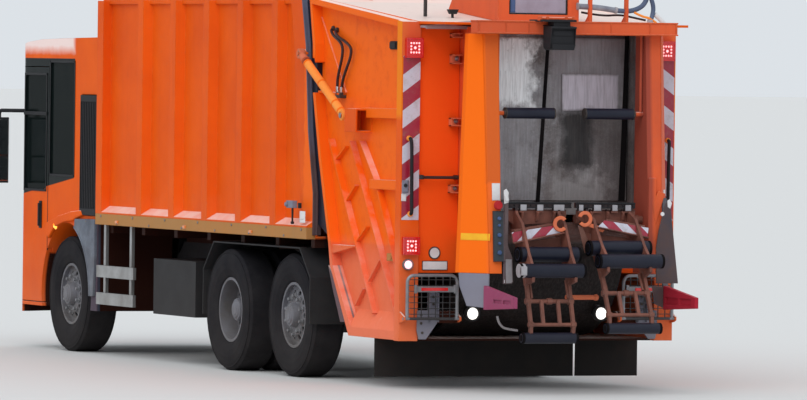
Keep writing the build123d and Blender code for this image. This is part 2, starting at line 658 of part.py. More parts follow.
def tailgate_outline(inset):
    """The tailgate's side view ahead of the corner posts, drawn in from its edge."""
    front = [(x - inset, z) for x, z in TAILGATE_FRONT[1:-1]]
    top = (TAILGATE_FRONT[0][0] - inset, TAILGATE_FRONT[0][1] - inset)
    foot = (TAILGATE_FRONT[-1][0] - inset, TAILGATE_BOTTOM + inset)
    return shifted([(60 + inset, POST_TOP - inset), top, *front, foot, (60 + inset, TAILGATE_BOTTOM + inset)])


def brace(start, end, width):
    """Corners of a straight strip between two side view points, measured across by its width."""
    run = hypot(end[0] - start[0], end[1] - start[1])
    across = (-(end[1] - start[1]) / run * width, (end[0] - start[0]) / run * width)
    return shifted([start, end, (end[0] + across[0], end[1] + across[1]),
                    (start[0] + across[0], start[1] + across[1])])


# Strips on the side walls: start, end, width, how far out they reach
SIDE_STRIPS = (
    ((1820, 2077), (786, 616), FIN, FIN_OUT),
    ((1349, 2065), (280, 607), FIN, FIN_OUT),
    ((1124, 2068), (821, 1775), FIN, FIN_OUT),
    ((821, 1775), (720, 1665), FIN, FIN_OUT),
    ((720, 1665), (211, 865), FIN, FIN_OUT),
    ((2172, 3162), (1556, 2475), FIN, WALL_OUT + FIN),
    ((1600, 2446), (2090, 2466), 20, FIN_OUT - 8),
    ((100, 2265), (1100, 2265), 83, FIN_OUT + 2),
    ((100, 1665), (890, 1665), 80, FIN_OUT + 2),
    ((1490, 2006), (1710, 1889), FIN, FIN_OUT - 18),
    ((1257, 1682), (1450, 1547), FIN, FIN_OUT - 18),
    ((1000, 1333), (1216, 1206), FIN, FIN_OUT - 18),
    ((699, 1062), (936, 878), FIN, FIN_OUT - 18),
    ((1056, 809), (1222, 663), FIN, FIN_OUT - 18),
)
FLANGE_NOTCH = ((2086, 2763), (2200, 2763), (2200, 2468), (1951, 2468), (1951, 2482))
FRONT_LEDGE = ((1735, 1173), (1710, 1089), (1190, 1160), (1190, 1172))
FOOT_STRIP = ((1862, 990), (1708, 872), (1656, 799), (1424, 518), (1572, 513), (1756, 795))
BRACKET_X = (985, 1235)
BRACKET_Y = (1105, 1262)
BRACKET_Z = (2140, 2340)
BRACKET_WALL = 14

with BuildPart() as tailgate_shell:
    # side wall, its frame and its strips
    side_plate(tailgate_outline(0), (WALL_IN, FRAME_OUT))
    side_plate(tailgate_outline(FLANGE), (WALL_OUT, FRAME_OUT + 1), mode=Mode.SUBTRACT)
    side_plate(shifted(FLANGE_NOTCH), (WALL_OUT, FRAME_OUT + 1), mode=Mode.SUBTRACT)
    for start, end, width, reach in SIDE_STRIPS:
        side_plate(brace(start, end, width), (WALL_OUT - 5, reach))
    side_plate(shifted(FRONT_LEDGE), (WALL_OUT - 5, FRAME_OUT - 10))
    # sloping shelf along the foot of the side wall
    shelf = [(WALL_OUT - 1, TAILGATE_BOTTOM), (FRAME_OUT, TAILGATE_BOTTOM), (FRAME_OUT, 485),
             (WALL_OUT - 1, 640)]
    cross_plate(shelf, (REAR_FACE + 110, REAR_FACE + 1240))
    # strip ahead of the foot, on two lugs
    side_plate(shifted(FOOT_STRIP), (WALL_OUT, WALL_OUT + 30))
    for low in (600, 840):
        back = 1240 + (low - TAILGATE_BOTTOM) * 0.744
        side_plate(shifted([(back - 40, low), (back + 160, low), (back + 190, low + 30),
                            (back - 18, low + 30)]),
                   (WALL_OUT + 5, WALL_OUT + 25))
    # corner post, the wall beside the mouth and the bar behind the footboard
    side_plate(
        shifted([(0, TAILGATE_BOTTOM), (POST_DEPTH, TAILGATE_BOTTOM), (POST_DEPTH, POST_TOP + 10),
                 (0, POST_TOP)]),
        (POST_IN, HALF_WIDTH),
    )
    block((REAR_FACE + 30, REAR_FACE + 50), (HOPPER_HALF + 2, POST_IN + 5), (980, POST_TOP - 20))
    block((REAR_FACE + 5, REAR_FACE + 45), (HOPPER_HALF + 2, POST_IN + 5), (560, 660))
    # the cylinder's bracket: a box open to the back, and a cheek with the pin
    block((REAR_FACE + BRACKET_X[0], REAR_FACE + BRACKET_X[1]), BRACKET_Y, BRACKET_Z)
    block((REAR_FACE + BRACKET_X[0] - 1, REAR_FACE + BRACKET_X[1] - BRACKET_WALL),
          (BRACKET_Y[0] + BRACKET_WALL, BRACKET_Y[1] - BRACKET_WALL),
          (BRACKET_Z[0] + BRACKET_WALL, BRACKET_Z[1] - BRACKET_WALL), mode=Mode.SUBTRACT)
    block((BARREL_PIN[0] - 70, BARREL_PIN[0] + 70), (WALL_OUT - 5, FRAME_OUT),
          (BARREL_PIN[1] - 110, BARREL_PIN[1] + 60))
    rod_along((BARREL_PIN[0], FRAME_OUT - 1, BARREL_PIN[1]), (BARREL_PIN[0], CYLINDER_Y + 33, BARREL_PIN[1]),
              PIVOT_RADIUS)
    # lugs for the footboard's hinge rod
    for inner in STEP_LUGS:
        step_lug = [(10, 660), (10, 560), (-60, 570), (-98, 585), (-98, 615), (-60, 630)]
        side_plate(shifted(step_lug), (inner, inner + STEP_LUG))
        rod_along((STEP_HINGE[0], inner - 1, STEP_HINGE[1]),
                  (STEP_HINGE[0], inner + STEP_LUG + 1, STEP_HINGE[1]), 12.5,
                  mode=Mode.SUBTRACT)
    mirror(about=Plane.XZ)
    # front wall under the body floor, floor and roof, side to side
    front_wall = [(1215, TAILGATE_BOTTOM), (1650, 995), (1698, 1182), (1718, 1182), (1674, 995),
                  (1239, TAILGATE_BOTTOM)]
    side_plate(shifted(front_wall), (-FRAME_OUT, FRAME_OUT))
    block((REAR_FACE + 60, REAR_FACE + 1230), (-FRAME_OUT, FRAME_OUT),
          (TAILGATE_BOTTOM, TAILGATE_BOTTOM + 18))
    roof = [(-560, 3060), (-560, 3080), (0, POST_TOP + 5), (2215, 3285), (2210, 3260), (0, POST_TOP - 20)]
    side_plate(shifted(roof), (-WALL_OUT, WALL_OUT))
    # hinge lugs between the body's forks
    for middle in HINGE_MIDDLES:
        hinge_lug = [(2030, 3262), (2150, 3274), (2300, 3303), (2328, 3330), (2300, 3358), (2030, 3300)]
        side_plate(shifted(hinge_lug), (middle - 12, middle + 12))
        rod_along(at_hinge(middle - 13), at_hinge(middle + 13), HINGE_PIN + 0.5, mode=Mode.SUBTRACT)
save(tailgate_shell, "tailgate_shell")


def trough_arc(radius, up_to):
    """The trough's round back at a radius, from its foot up to an angle."""
    points = [
        (REAR_FACE + TROUGH_CENTRE[0] - radius * sin(radians(a)), TROUGH_CENTRE[1] - radius * cos(radians(a)))
        for a in (0, up_to / 2, up_to)
    ]
    return ThreePointArc(*points)


# Hopper: curved trough with its loading sill and ramp, between two side walls
TROUGH_FOOT = TROUGH_CENTRE[1] - TROUGH_RADIUS
TROUGH_SWEEP = 80
with BuildPart() as hopper_shell:
    hopper_wall = [
        (60, POST_TOP - 20), (-558, 3010), (-558, 1330), (-190, 1200), (60, 700), (1205, TROUGH_FOOT + 15),
        (1620, 1003), (1665, 1190), (1640, 1330), (60, 1330),
    ]
    side_plate(shifted(hopper_wall), (HOPPER_HALF - SHEET, HOPPER_HALF))
    mirror(about=Plane.XZ)
    with BuildSketch(Plane.XZ.offset(-HOPPER_HALF)) as trough:
        with BuildLine():
            outer = trough_arc(TROUGH_RADIUS, TROUGH_SWEEP)
            inner = trough_arc(TROUGH_RADIUS - SHEET, TROUGH_SWEEP)
            Polyline(outer @ 1, *shifted([(SILL[0], SILL[1] - 100), SILL, (SILL[0] + 60, SILL[1])]),
                     inner @ 1)
            ramp = [
                (1205, TROUGH_FOOT), (1630, 995), (1678, 1182), (1658, 1182), (1611, 1003),
                (1193, TROUGH_FOOT + SHEET),
            ]
            Polyline(outer @ 0, *shifted(ramp), inner @ 0)
        make_face()
    extrude(trough.sketch, amount=2 * HOPPER_HALF)
save(hopper_shell, "hopper_shell")

# Seal between the tailgate and the body: sides, top and foot
SEAL_BACK = ((2213, 3262), (2130, 2886), (2115, 2466), (1962, 1900), (1723, 1186))
SEAL_FRONT = ((2063, 1340), (2063, 1600), (2190, 2130), (2266, 2866), (2365, 3262))
SEAL_IN = WALL_IN - 60

with BuildPart() as tailgate_seal:
    side_plate(shifted([*SEAL_BACK, (1745, 1215), *SEAL_FRONT]), (SEAL_IN, PANEL_HALF - 12))
    mirror(about=Plane.XZ)
    side_plate(shifted([(2213, 3262), (2365, 3262), (2355, 3222), (2204, 3222)]), (-SEAL_IN, SEAL_IN))
save(tailgate_seal, "tailgate_seal")

# Portal behind the hopper: two leaning chamfered columns, the beam over them and the stop bars' rods
COLUMN_SECTIONS = {
    1000: ((-800, 670), (-800, 785), (-540, 950), (-470, 950), (-470, 670)),
    2990: ((-660, 670), (-660, 812), (-540, 888), (-470, 888), (-470, 670)),
}
BEAM_HEIGHT = (2990, 3090)
STOP_Z = 2330
STOP_X = REAR_FACE - 620
STOP_Y = (140, 585)

with BuildPart() as hopper_portal:
    for height, section in COLUMN_SECTIONS.items():
        with BuildSketch(Plane.XY.offset(height)):
            with BuildLine():
                Polyline(*[(REAR_FACE + x, y) for x, y in section], close=True)
            make_face()
    loft(ruled=True)
    # the hopper's side wall and sill stand in the columns' front corners
    block((REAR_FACE - 561, REAR_FACE - 469), (HOPPER_HALF - SHEET - 1, HOPPER_HALF + 1), (1280, 2991),
          mode=Mode.SUBTRACT)
    block((REAR_FACE + SILL[0] - 1, REAR_FACE - 469), (669, HOPPER_HALF + 1), (1270, SILL[1] + 1),
          mode=Mode.SUBTRACT)
    rod_along((STOP_X, STOP_Y[1] + 1, STOP_Z), (STOP_X, 690, STOP_Z), 20)
    rod_along((STOP_X, 654, STOP_Z), (STOP_X, 654, BEAM_HEIGHT[0] + 5), 13)
    mirror(about=Plane.XZ)
    block((REAR_FACE - 780, REAR_FACE - 640), (-910, 910), BEAM_HEIGHT)
    block((REAR_FACE - 650, REAR_FACE - 562), (-800, 800), (2985, 3030))
save(hopper_portal, "hopper_portal")

# Packer plate inside the mouth: two worn halves, a patch and a thin plate over the left half
PACKER_X = REAR_FACE - 260
PACKER_LEFT = ((60, 2960), (680, 2960), (680, 1600), (140, 1600))
PACKER_RIGHT = ((-680, 2960), (45, 2960), (125, 1600), (-680, 1600))
with BuildPart() as packer_plate:
    block((PACKER_X, PACKER_X + 25), (-690, 690), (1480, 3050))
    cross_plate(PACKER_LEFT, (PACKER_X - 25, PACKER_X))
    cross_plate(PACKER_RIGHT, (PACKER_X - 25, PACKER_X))
    block((PACKER_X - 37, PACKER_X - 25), (-600, -75), (2350, 2660))
    block((PACKER_X - 33, PACKER_X - 25), (100, 600), (2680, 2950))
save(packer_plate, "packer_plate")

# Bin stop bars: rubber sleeves on the portal's rods
with BuildPart() as bin_stop_bars:
    rod_along((STOP_X, STOP_Y[0], STOP_Z), (STOP_X, STOP_Y[1], STOP_Z), 46)
    mirror(about=Plane.XZ)
save(bin_stop_bars, "bin_stop_bars")

# Work lamp box hung behind the beam
with BuildPart() as camera_box:
    block((REAR_FACE - 930, REAR_FACE - 785), (100, 312), (2870, 3050))
    block((REAR_FACE - 915, REAR_FACE - 800), (130, 282), (3049, 3093))
    block((REAR_FACE - 930, REAR_FACE - 660), (80, 390), (3092, 3110))
save(camera_box, "camera_box")

# Raised housing on the tailgate roof, with the plate facing back
with BuildPart() as roof_housing:
    housing = [(40, 3090.5), (40, 3420), (900, 3420), (1100, 3205), (1100, 3186.5)]
    side_plate(shifted(housing), (-370, 370))
    block((REAR_FACE + 39, REAR_FACE + 60), (-270, 270), (3155, 3370), mode=Mode.SUBTRACT)
save(roof_housing, "roof_housing")

# Lift hoses, held between two fittings on each side wall
HOSE_TOPS = ((1897, 3009), (1772, 2991))
HOSE_DROP = (-193, -530)
HOSE_Y = 1146
with BuildPart() as lift_hoses:
    for x, z in HOSE_TOPS:
        route = [(x, WALL_OUT, z), (x, HOSE_Y, z), (x - 190, HOSE_Y, z - 60), (x - 330, HOSE_Y, z - 240),
                 (x + HOSE_DROP[0], HOSE_Y, z + HOSE_DROP[1])]
        tube_along([(REAR_FACE + px, py, pz) for px, py, pz in route], 13, 26)
    mirror(about=Plane.XZ)
save(lift_hoses, "lift_hoses")

# Rear lamps: a cluster high and low and a round lamp on each post, and reversing lamps
LAMP_CLUSTERS = (((1086, 1228), (2784, 2939)), ((1095, 1234), (1138, 1276)))
ROUND_LAMP = (1187, 1050)
with BuildPart() as rear_lamps:
    for widths, heights in LAMP_CLUSTERS:
        block((REAR_FACE - 45, REAR_FACE), widths, heights)
    rod_along((REAR_FACE - 25, ROUND_LAMP[0], ROUND_LAMP[1]), (REAR_FACE, ROUND_LAMP[0], ROUND_LAMP[1]), 42)
    rod_along((REAR_FACE - 10, 590, 640), (REAR_FACE + 60, 590, 640), 60)
    side_plate(shifted([(61, 640), (90, 640), (90, 685), (61, 712)]), (570, 610))
    mirror(about=Plane.XZ)
save(rear_lamps, "rear_lamps")

# Grey plates: control strip and narrow plate on the left column, plates in the columns' chamfers
CHAMFER = Plane(
    origin=(REAR_FACE - 800, 785, 1000), x_dir=(260, 165, 0), z_dir=(328350, -517400, -16120),
)
# outline along the chamfer and above the column's foot
LEFT_BRACKET = ((2, -1), (308, -1), (295, -110), (217, -275), (2, -287))
RIGHT_PLATE = ((0, -130), (300, -130), (296, 630), (42, 630))
CONTROL_STRIP = ((-795, 1100), (-825, 1100), (-796, 1518), (-766, 1518))
with BuildPart() as right_plate:
    with BuildSketch(CHAMFER.offset(-1)) as outline:
        with BuildLine():
            Polyline(*RIGHT_PLATE, close=True)
        make_face()
    extrude(outline.sketch, amount=-10)

with BuildPart() as bracket_plates:
    with BuildSketch(CHAMFER) as outline:
        with BuildLine():
            Polyline(*LEFT_BRACKET, close=True)
        make_face()
    extrude(outline.sketch, amount=12)
    side_plate(shifted(CONTROL_STRIP), (650, 748))
    block((REAR_FACE - 816, REAR_FACE - 800), (627, 660), (915, 1615))
    add(right_plate.part.mirror(Plane.XZ))
save(bracket_plates, "bracket_plates")

# Tapered lamp guards reaching back from the columns' feet, with recesses
GUARD_OUTLINE = ((-806, 700), (-1430, 730), (-1430, 820), (-806, 900))
GUARD_Y = (800, 835)
LEFT_SLOTS = ((-1370, -1210), (-1180, -1010))
RIGHT_RECESSES = ((-1350, -1130), (-1090, -850))
with BuildPart() as lamp_guards:
    side_plate(shifted(GUARD_OUTLINE), GUARD_Y)
    mirror(about=Plane.XZ)
    for back, front in LEFT_SLOTS:
        block((REAR_FACE + back, REAR_FACE + front), (GUARD_Y[1] - 12, GUARD_Y[1] + 1), (762, 792),
              mode=Mode.SUBTRACT)
    for back, front in RIGHT_RECESSES:
        block((REAR_FACE + back, REAR_FACE + front), (-GUARD_Y[0] - 12, -GUARD_Y[0] + 1), (750, 806),
              mode=Mode.SUBTRACT)
save(lamp_guards, "lamp_guards")

# Rubber flaps under the hopper
FLAP_X = REAR_FACE + 650
with BuildPart() as rubber_flaps:
    block((FLAP_X, FLAP_X + 12), (-630, 1200), (85, TAILGATE_BOTTOM))
    block((FLAP_X, FLAP_X + 12), (-1230, -650), (85, TAILGATE_BOTTOM))
save(rubber_flaps, "rubber_flaps")

# Tailgate cylinders: barrel on the tailgate's bracket, rod to the body's rear post
cylinder_run = Vector(ROD_PIN[0] - BARREL_PIN[0], 0, ROD_PIN[1] - BARREL_PIN[1])
cylinder_way = cylinder_run.normalized()

for name, side in BOTH_SIDES.items():
    pin = Vector(BARREL_PIN[0], side * CYLINDER_Y, BARREL_PIN[1])
    eye = Vector(ROD_PIN[0], side * CYLINDER_Y, ROD_PIN[1])
    with BuildPart() as barrel:
        rod_along(tuple(pin + cylinder_way * 30), tuple(pin + cylinder_way * BARREL_LENGTH), BARREL_RADIUS)
        rod_along(tuple(pin + cylinder_way * 50), tuple(pin + cylinder_way * (BARREL_LENGTH + 1)),
                  ROD_RADIUS + 0.5,
                  mode=Mode.SUBTRACT)
        rod_along((pin.X, pin.Y - 26, pin.Z), (pin.X, pin.Y + 26, pin.Z), 44)
        rod_along((pin.X, pin.Y - 27, pin.Z), (pin.X, pin.Y + 27, pin.Z), PIVOT_RADIUS + 0.5,
                  mode=Mode.SUBTRACT)
    save(barrel, f"lift_barrel_{name}")
    with BuildPart() as rod:
        rod_along(tuple(pin + cylinder_way * 60), tuple(eye - cylinder_way * 20), ROD_RADIUS)
        rod_along((eye.X, eye.Y - 24, eye.Z), (eye.X, eye.Y + 24, eye.Z), 40)
    save(rod, f"lift_rod_{name}")

# Footboards: folded up against the back, hinged at their foot
for name, side in BOTH_SIDES.items():
    with BuildPart() as footboard:
        inner, outer = side * STEP_Y[0], side * STEP_Y[1]
        foot, top = STEP_HINGE[1], 962
        tube_along([(STEP_HINGE[0], inner, foot), (STEP_HINGE[0], inner, top), (STEP_HINGE[0], outer, top),
                    (STEP_HINGE[0], outer, foot)], 14, 60)
        rod_along((STEP_HINGE[0], side * (STEP_Y[0] - 38), foot),
                  (STEP_HINGE[0], side * (STEP_Y[1] + 38), foot), 12)
        widths = sorted((inner, outer))
        for i in range(7):
            bar = foot + 35 + i * 48
            block((STEP_HINGE[0] - 4, STEP_HINGE[0] + 4), widths, (bar, bar + 6))
        for i in range(6):
            upright = widths[0] + (i + 1) * (widths[1] - widths[0]) / 7
            block((STEP_HINGE[0] - 4, STEP_HINGE[0] + 4), (upright - 3, upright + 3), (foot, top))
    save(footboard, f"footboard_{name}")

# Bin lifter: two halves, each with its comb, flap, rollers and ladder; the right half stands swung out
LIFTER_PIVOT = (REAR_FACE - 640, 1450)
LIFTER_AXIS = Axis((LIFTER_PIVOT[0], 0, LIFTER_PIVOT[1]), (0, 1, 0))
LIFTER_LEAN = {"left": 0, "right": 10}
COMB_TOP = 1589
COMB_BAR = {"left": (13, 601), "right": (30, 570)}
HOOKS = {
    "left": ((74, 181), (265, 332), (417, 484)),
    "right": ((48, 99), (185, 261), (353, 411), (472, 535)),
}
# station, height, inner end, outer end, radius
ROLLERS = ((-930, 1162, 30, 590, 64), (-1075, 1032, 45, 635, 59), (-1045, 474, 90, 595, 46))
CHEEKS = (118, 502)
CHEEK_OUTLINE = (
    (-740, 1500), (-720, 1575), (-690, 1575), (-645, 1498), (-622, 1480), (-622, 1400), (-890, 1000),
    (-930, 900),
    (-1100, 940), (-1110, 1040), (-1000, 1180), (-860, 1420),
)
LADDER_BAR = ((-925, 960), (-960, 960), (-1075, 575), (-1066, 474), (-1024, 474), (-1040, 575))
LADDER_SLAT = ((-990, 790), (-1016, 790), (-1069, 575), (-1043, 575))
FLAP = ((619, 1345), (218, 1407), (151, 1347), (604, 1261))
UNDER_FLAP = ((571, 1253), (60, 1316), (60, 1213), (532, 1223))
HOOK_RING = {"left": (186, 1416), "right": (30, 1458)}

for name, side in BOTH_SIDES.items():

    def across(inner, outer):
        """Widths of a piece of this half, in rising order."""
        return tuple(sorted((side * inner, side * outer)))

    with BuildPart() as frame_half:
        for inner in CHEEKS:
            side_plate(shifted(CHEEK_OUTLINE), across(inner, inner + 24))
            side_plate(shifted(LADDER_BAR), across(inner - 2, inner + 26))
        for inner in (236, 386):
            side_plate(shifted(LADDER_SLAT), across(inner, inner + 28))
        for x, z, radius in ((-990, 777, 18), (-1055, 585, 16)):
            rod_along((REAR_FACE + x, side * 105, z), (REAR_FACE + x, side * 535, z), radius)
        # sloping striped flap, the plate under it and its arms from the cheeks
        cross_plate([(side * y, z) for y, z in FLAP], (REAR_FACE - 875, REAR_FACE - 860))
        cross_plate([(side * y, z) for y, z in UNDER_FLAP], (REAR_FACE - 800, REAR_FACE - 788))
        # pivot tube
        rod_along((LIFTER_PIVOT[0], side * 60, LIFTER_PIVOT[1]),
                  (LIFTER_PIVOT[0], side * 667, LIFTER_PIVOT[1]), 30)
        for x, z, inner, outer, radius in ROLLERS:
            rod_along((REAR_FACE + x, side * inner, z), (REAR_FACE + x, side * outer, z), radius,
                      mode=Mode.SUBTRACT)

    with BuildPart() as lifter:
        add(frame_half.part.rotate(LIFTER_AXIS, LIFTER_LEAN[name]))
        # comb bar and the hooks hanging from it
        block((REAR_FACE - 720, REAR_FACE - 680), across(*COMB_BAR[name]), (COMB_TOP - 44, COMB_TOP))
        for hook in HOOKS[name]:
            block((REAR_FACE - 725, REAR_FACE - 700), across(*hook), (COMB_TOP - 83, COMB_TOP - 40))
    save(lifter, f"lifter_{name}")

    with BuildPart() as rollers:
        for x, z, inner, outer, radius in ROLLERS:
            rod_along((REAR_FACE + x, side * inner, z), (REAR_FACE + x, side * outer, z), radius)
    rollers.part = rollers.part.rotate(LIFTER_AXIS, LIFTER_LEAN[name])
    save(rollers, f"lifter_rollers_{name}")

# Knuckles: a yoke around the axle's boss, with its pin and spindle
YOKE_OUT = STEER_PIN_Y + 90
for name, side in BOTH_SIDES.items():
    with BuildPart() as knuckle:
        yoke = [
            (side * (STEER_PIN_Y - 45), BOSS_HEIGHT[0] - 35), (side * YOKE_OUT, BOSS_HEIGHT[0] - 35),
            (side * YOKE_OUT, BOSS_HEIGHT[1] + 35), (side * (STEER_PIN_Y - 45), BOSS_HEIGHT[1] + 35),
            (side * (STEER_PIN_Y - 45), BOSS_HEIGHT[1] + 3), (side * (YOKE_OUT - 30), BOSS_HEIGHT[1] + 3),
            (side * (YOKE_OUT - 30), BOSS_HEIGHT[0] - 3), (side * (STEER_PIN_Y - 45), BOSS_HEIGHT[0] - 3),
        ]
        cross_plate(yoke, (FRONT_AXLE - 50, FRONT_AXLE + 50))
        rod_along((FRONT_AXLE, side * STEER_PIN_Y, BOSS_HEIGHT[0] - 30),
                  (FRONT_AXLE, side * STEER_PIN_Y, BOSS_HEIGHT[1] + 30), PIN_RADIUS)
        rod_along((FRONT_AXLE, side * (YOKE_OUT - 5), TYRE_RADIUS), (FRONT_AXLE, side * 1120, TYRE_RADIUS),
                  SPINDLE_RADIUS)
    save(knuckle, f"knuckle_{name}")

# Wheels: tyre and rim turned about the wheel's axis; (out from the wheel's middle, radius)
TYRE_PROFILE = (
    (-112, 287), (-128, 300), (-150, 360), (-156, 420), (-150, 480), (-138, 515), (-118, 533),
    (-60, TYRE_RADIUS),
    (60, TYRE_RADIUS), (118, 533), (138, 515), (150, 480), (156, 420), (150, 360), (128, 300), (112, 287),
)
RIM_BARREL = ((-118, 262), (-118, 286), (118, 286), (118, 262))
# Disc dish: where the disc sits in the barrel, its middle, and the hub's reach
DISH = {"single": (70, 95, 150), "twin": (-40, -70, 60)}
HAND_HOLES = 10


def turned(points, x, y, side):
    """A closed profile turned about a wheel's axis."""
    plane = Plane(origin=(x, y, TYRE_RADIUS), x_dir=(0, side, 0), z_dir=(side, 0, 0))
    with BuildSketch(plane) as profile:
        with BuildLine():
            Polyline(*points, close=True)
        make_face()
    revolve(profile.sketch, axis=Axis((x, y, TYRE_RADIUS), (0, side, 0)))


def rim(x, y, side, kind):
    """A rim with a dished disc and a hub, in the part being built."""
    seat, middle, reach = DISH[kind]
    turned(RIM_BARREL, x, y, side)
    disc = [
        (seat - 8, 264), (seat + 8, 264), (seat + 8, 225), (middle + 8, 170), (middle + 8, 110), (reach, 100),
        (reach, SPINDLE_RADIUS + 1), (middle - 60, SPINDLE_RADIUS + 1), (middle - 60, 110),
        (middle - 8, 170),
        (seat - 8, 225),
    ]
    turned(disc, x, y, side)
    with BuildSketch(Plane(origin=(x, y + side * (seat - 60), TYRE_RADIUS), x_dir=(1, 0, 0),
                           z_dir=(0, side, 0))) as holes:
        with PolarLocations(200, HAND_HOLES):
            Circle(24)
    extrude(holes.sketch, amount=120, mode=Mode.SUBTRACT)


WHEELS = (
    ("front", FRONT_AXLE, (SINGLE_TRACK,), ("single",)),
    ("drive", DRIVE_AXLE, TWIN_TRACKS, ("single", "twin")),
    ("tag", TAG_AXLE, (SINGLE_TRACK,), ("single",)),
)
for axle_name, station, tracks, kinds in WHEELS:
    for name, side in BOTH_SIDES.items():
        with BuildPart() as tyres:
            for track in tracks:
                turned(TYRE_PROFILE, station, side * track, side)
        save(tyres, f"tyre_{axle_name}_{name}")
        with BuildPart() as rims:
            for track, kind in zip(tracks, kinds):
                rim(station, side * track, side, kind)
        save(rims, f"rim_{axle_name}_{name}")
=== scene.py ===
"""Looks of the three-axle refuse truck: finishes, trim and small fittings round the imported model.

Metres. +X is forward, +Y is left, +Z is up. Stations are measured ahead of the rear face.
"""

import json
import math
from contextlib import contextmanager

import bmesh
import bpy
from mathutils import Matrix, Vector


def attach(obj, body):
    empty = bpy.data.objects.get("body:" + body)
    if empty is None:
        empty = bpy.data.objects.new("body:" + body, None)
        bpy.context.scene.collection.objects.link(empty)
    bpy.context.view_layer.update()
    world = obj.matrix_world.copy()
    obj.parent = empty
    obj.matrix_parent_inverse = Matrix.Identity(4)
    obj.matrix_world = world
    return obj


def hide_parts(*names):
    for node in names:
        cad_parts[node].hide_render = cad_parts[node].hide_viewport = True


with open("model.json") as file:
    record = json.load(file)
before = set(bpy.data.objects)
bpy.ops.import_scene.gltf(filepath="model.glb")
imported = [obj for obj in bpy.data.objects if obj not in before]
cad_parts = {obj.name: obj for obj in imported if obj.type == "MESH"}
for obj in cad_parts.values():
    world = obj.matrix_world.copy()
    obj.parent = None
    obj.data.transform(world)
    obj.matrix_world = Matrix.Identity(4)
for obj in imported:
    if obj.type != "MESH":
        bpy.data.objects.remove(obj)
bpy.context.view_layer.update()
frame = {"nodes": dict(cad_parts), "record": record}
NODES = frame["nodes"]
SLOTS = {row["node"]: row["material_slot"] for row in frame["record"]["subparts"]}

# The rear face's X, and the sign of Y on each side
REAR_FACE = -4.175
SIDES = {"left": 1, "right": -1}

# Linear colours that several finishes share
ORANGE = (0.88, 0.12, 0.007, 1)
ORANGE_DEEP = (0.6, 0.055, 0.006, 1)
# Pale cream for surfaces that face the sky: a painted sky reflection with dust
SKY_SHEEN_AND_DUST = (0.9, 0.74, 0.67, 1)
# Near-black for painted shade under and inside the truck
PAINTED_UNDER_SHADE = (0.01, 0.008, 0.008, 1)
DUST = (0.25, 0.2, 0.15, 1)
# Bright orange laid on chipped edges: a painted highlight along the edges
EDGE_HIGHLIGHT = (1.0, 0.33, 0.085, 1)
SALMON_DUST = (0.76, 0.26, 0.14, 1)
BARE_STEEL = (0.32, 0.31, 0.31, 1)
BLACK = (0.018, 0.018, 0.022, 1)
GALVANISED = (0.3, 0.31, 0.34, 1)
GLASS_DARK = (0.006, 0.01, 0.01, 1)
STRIPE_RED = (0.34, 0.012, 0.04, 1)
STRIPE_PALE = (0.6, 0.59, 0.68, 1)
LAMP_RED = (0.62, 0.008, 0.01, 1)
LAMP_GLOW = (1.0, 0.01, 0.015, 1)


def place(tree, kind, inputs=None, **settings):
    """Adds a node to a tree with its settings. Each of its inputs is linked to a socket or set to a value."""
    made = tree.nodes.new(kind)
    for name, value in settings.items():
        setattr(made, name, value)
    for name, value in (inputs or {}).items():
        if isinstance(value, bpy.types.NodeSocket):
            tree.links.new(value, made.inputs[name])
        else:
            made.inputs[name].default_value = value
    return made


def reckon(tree, operation, *terms, clamp=False):
    """The result of a sum on numbers. Each term is a socket or a number."""
    return place(tree, "ShaderNodeMath", dict(enumerate(terms)), operation=operation, use_clamp=clamp).outputs[0]


def reckon_vector(tree, operation, *terms):
    """The result of a sum on vectors."""
    made = place(tree, "ShaderNodeVectorMath", dict(enumerate(terms)), operation=operation)
    return made.outputs["Value" if operation == "DOT_PRODUCT" else "Vector"]


def ramp(tree, value, low=0.0, high=1.0, to_low=0.0, to_high=1.0):
    """A value taken from one span to another and held inside it."""
    limits = {"Value": value, "From Min": low, "From Max": high, "To Min": to_low, "To Max": to_high}
    return place(tree, "ShaderNodeMapRange", limits, clamp=True).outputs["Result"]


def noise(tree, position, scale, detail, roughness=0.5):
    """An uneven value from 0 to 1 over a surface."""
    looks = {"Vector": position, "Scale": scale, "Detail": detail, "Roughness": roughness}
    return place(tree, "ShaderNodeTexNoise", looks).outputs["Fac"]


def own_place(tree):
    """The piece's own coordinates."""
    return place(tree, "ShaderNodeTexCoord").outputs["Object"]


def split(tree, vector):
    """The three sockets of a vector: X, Y and Z."""
    return place(tree, "ShaderNodeSeparateXYZ", {"Vector": vector}).outputs


def start_group(name, inputs):
    """A node group with its named inputs, and the sockets that they come in by."""
    group = bpy.data.node_groups.new(name, "ShaderNodeTree")
    for label, value in inputs.items():
        kind = "NodeSocketVector" if isinstance(value, tuple) else "NodeSocketFloat"
        group.interface.new_socket(name=label, in_out="INPUT", socket_type=kind).default_value = value
    return group, group.nodes.new("NodeGroupInput").outputs


def end_group(group, **results):
    """Gives a node group its named outputs: numbers, and a vector for a normal."""
    for label in results:
        kind = "NodeSocketVector" if label == "Normal" else "NodeSocketFloat"
        group.interface.new_socket(name=label, in_out="OUTPUT", socket_type=kind)
    place(group, "NodeGroupOutput", results)
    return group


def make_patches_group():
    """Soft uneven patches between two limits of a noise."""
    group, come = start_group("uneven patches", {"Scale": 3.0, "From": 0.4, "To": 0.65, "Roughness": 0.6})
    patches = noise(group, own_place(group), come["Scale"], 6.0, come["Roughness"])
    return end_group(group, Mask=ramp(group, patches, come["From"], come["To"]))


def make_streaks_group():
    """Streaks that run down a wall."""
    group, come = start_group("run down streaks", {"Fineness": 9.0, "From": 0.5, "To": 0.75})
    tall = place(group, "ShaderNodeMapping", {"Vector": own_place(group), "Scale": (1, 1, 0.07)}).outputs["Vector"]
    streaks = noise(group, tall, come["Fineness"], 4.0, 0.65)
    return end_group(group, Mask=ramp(group, streaks, come["From"], come["To"]))


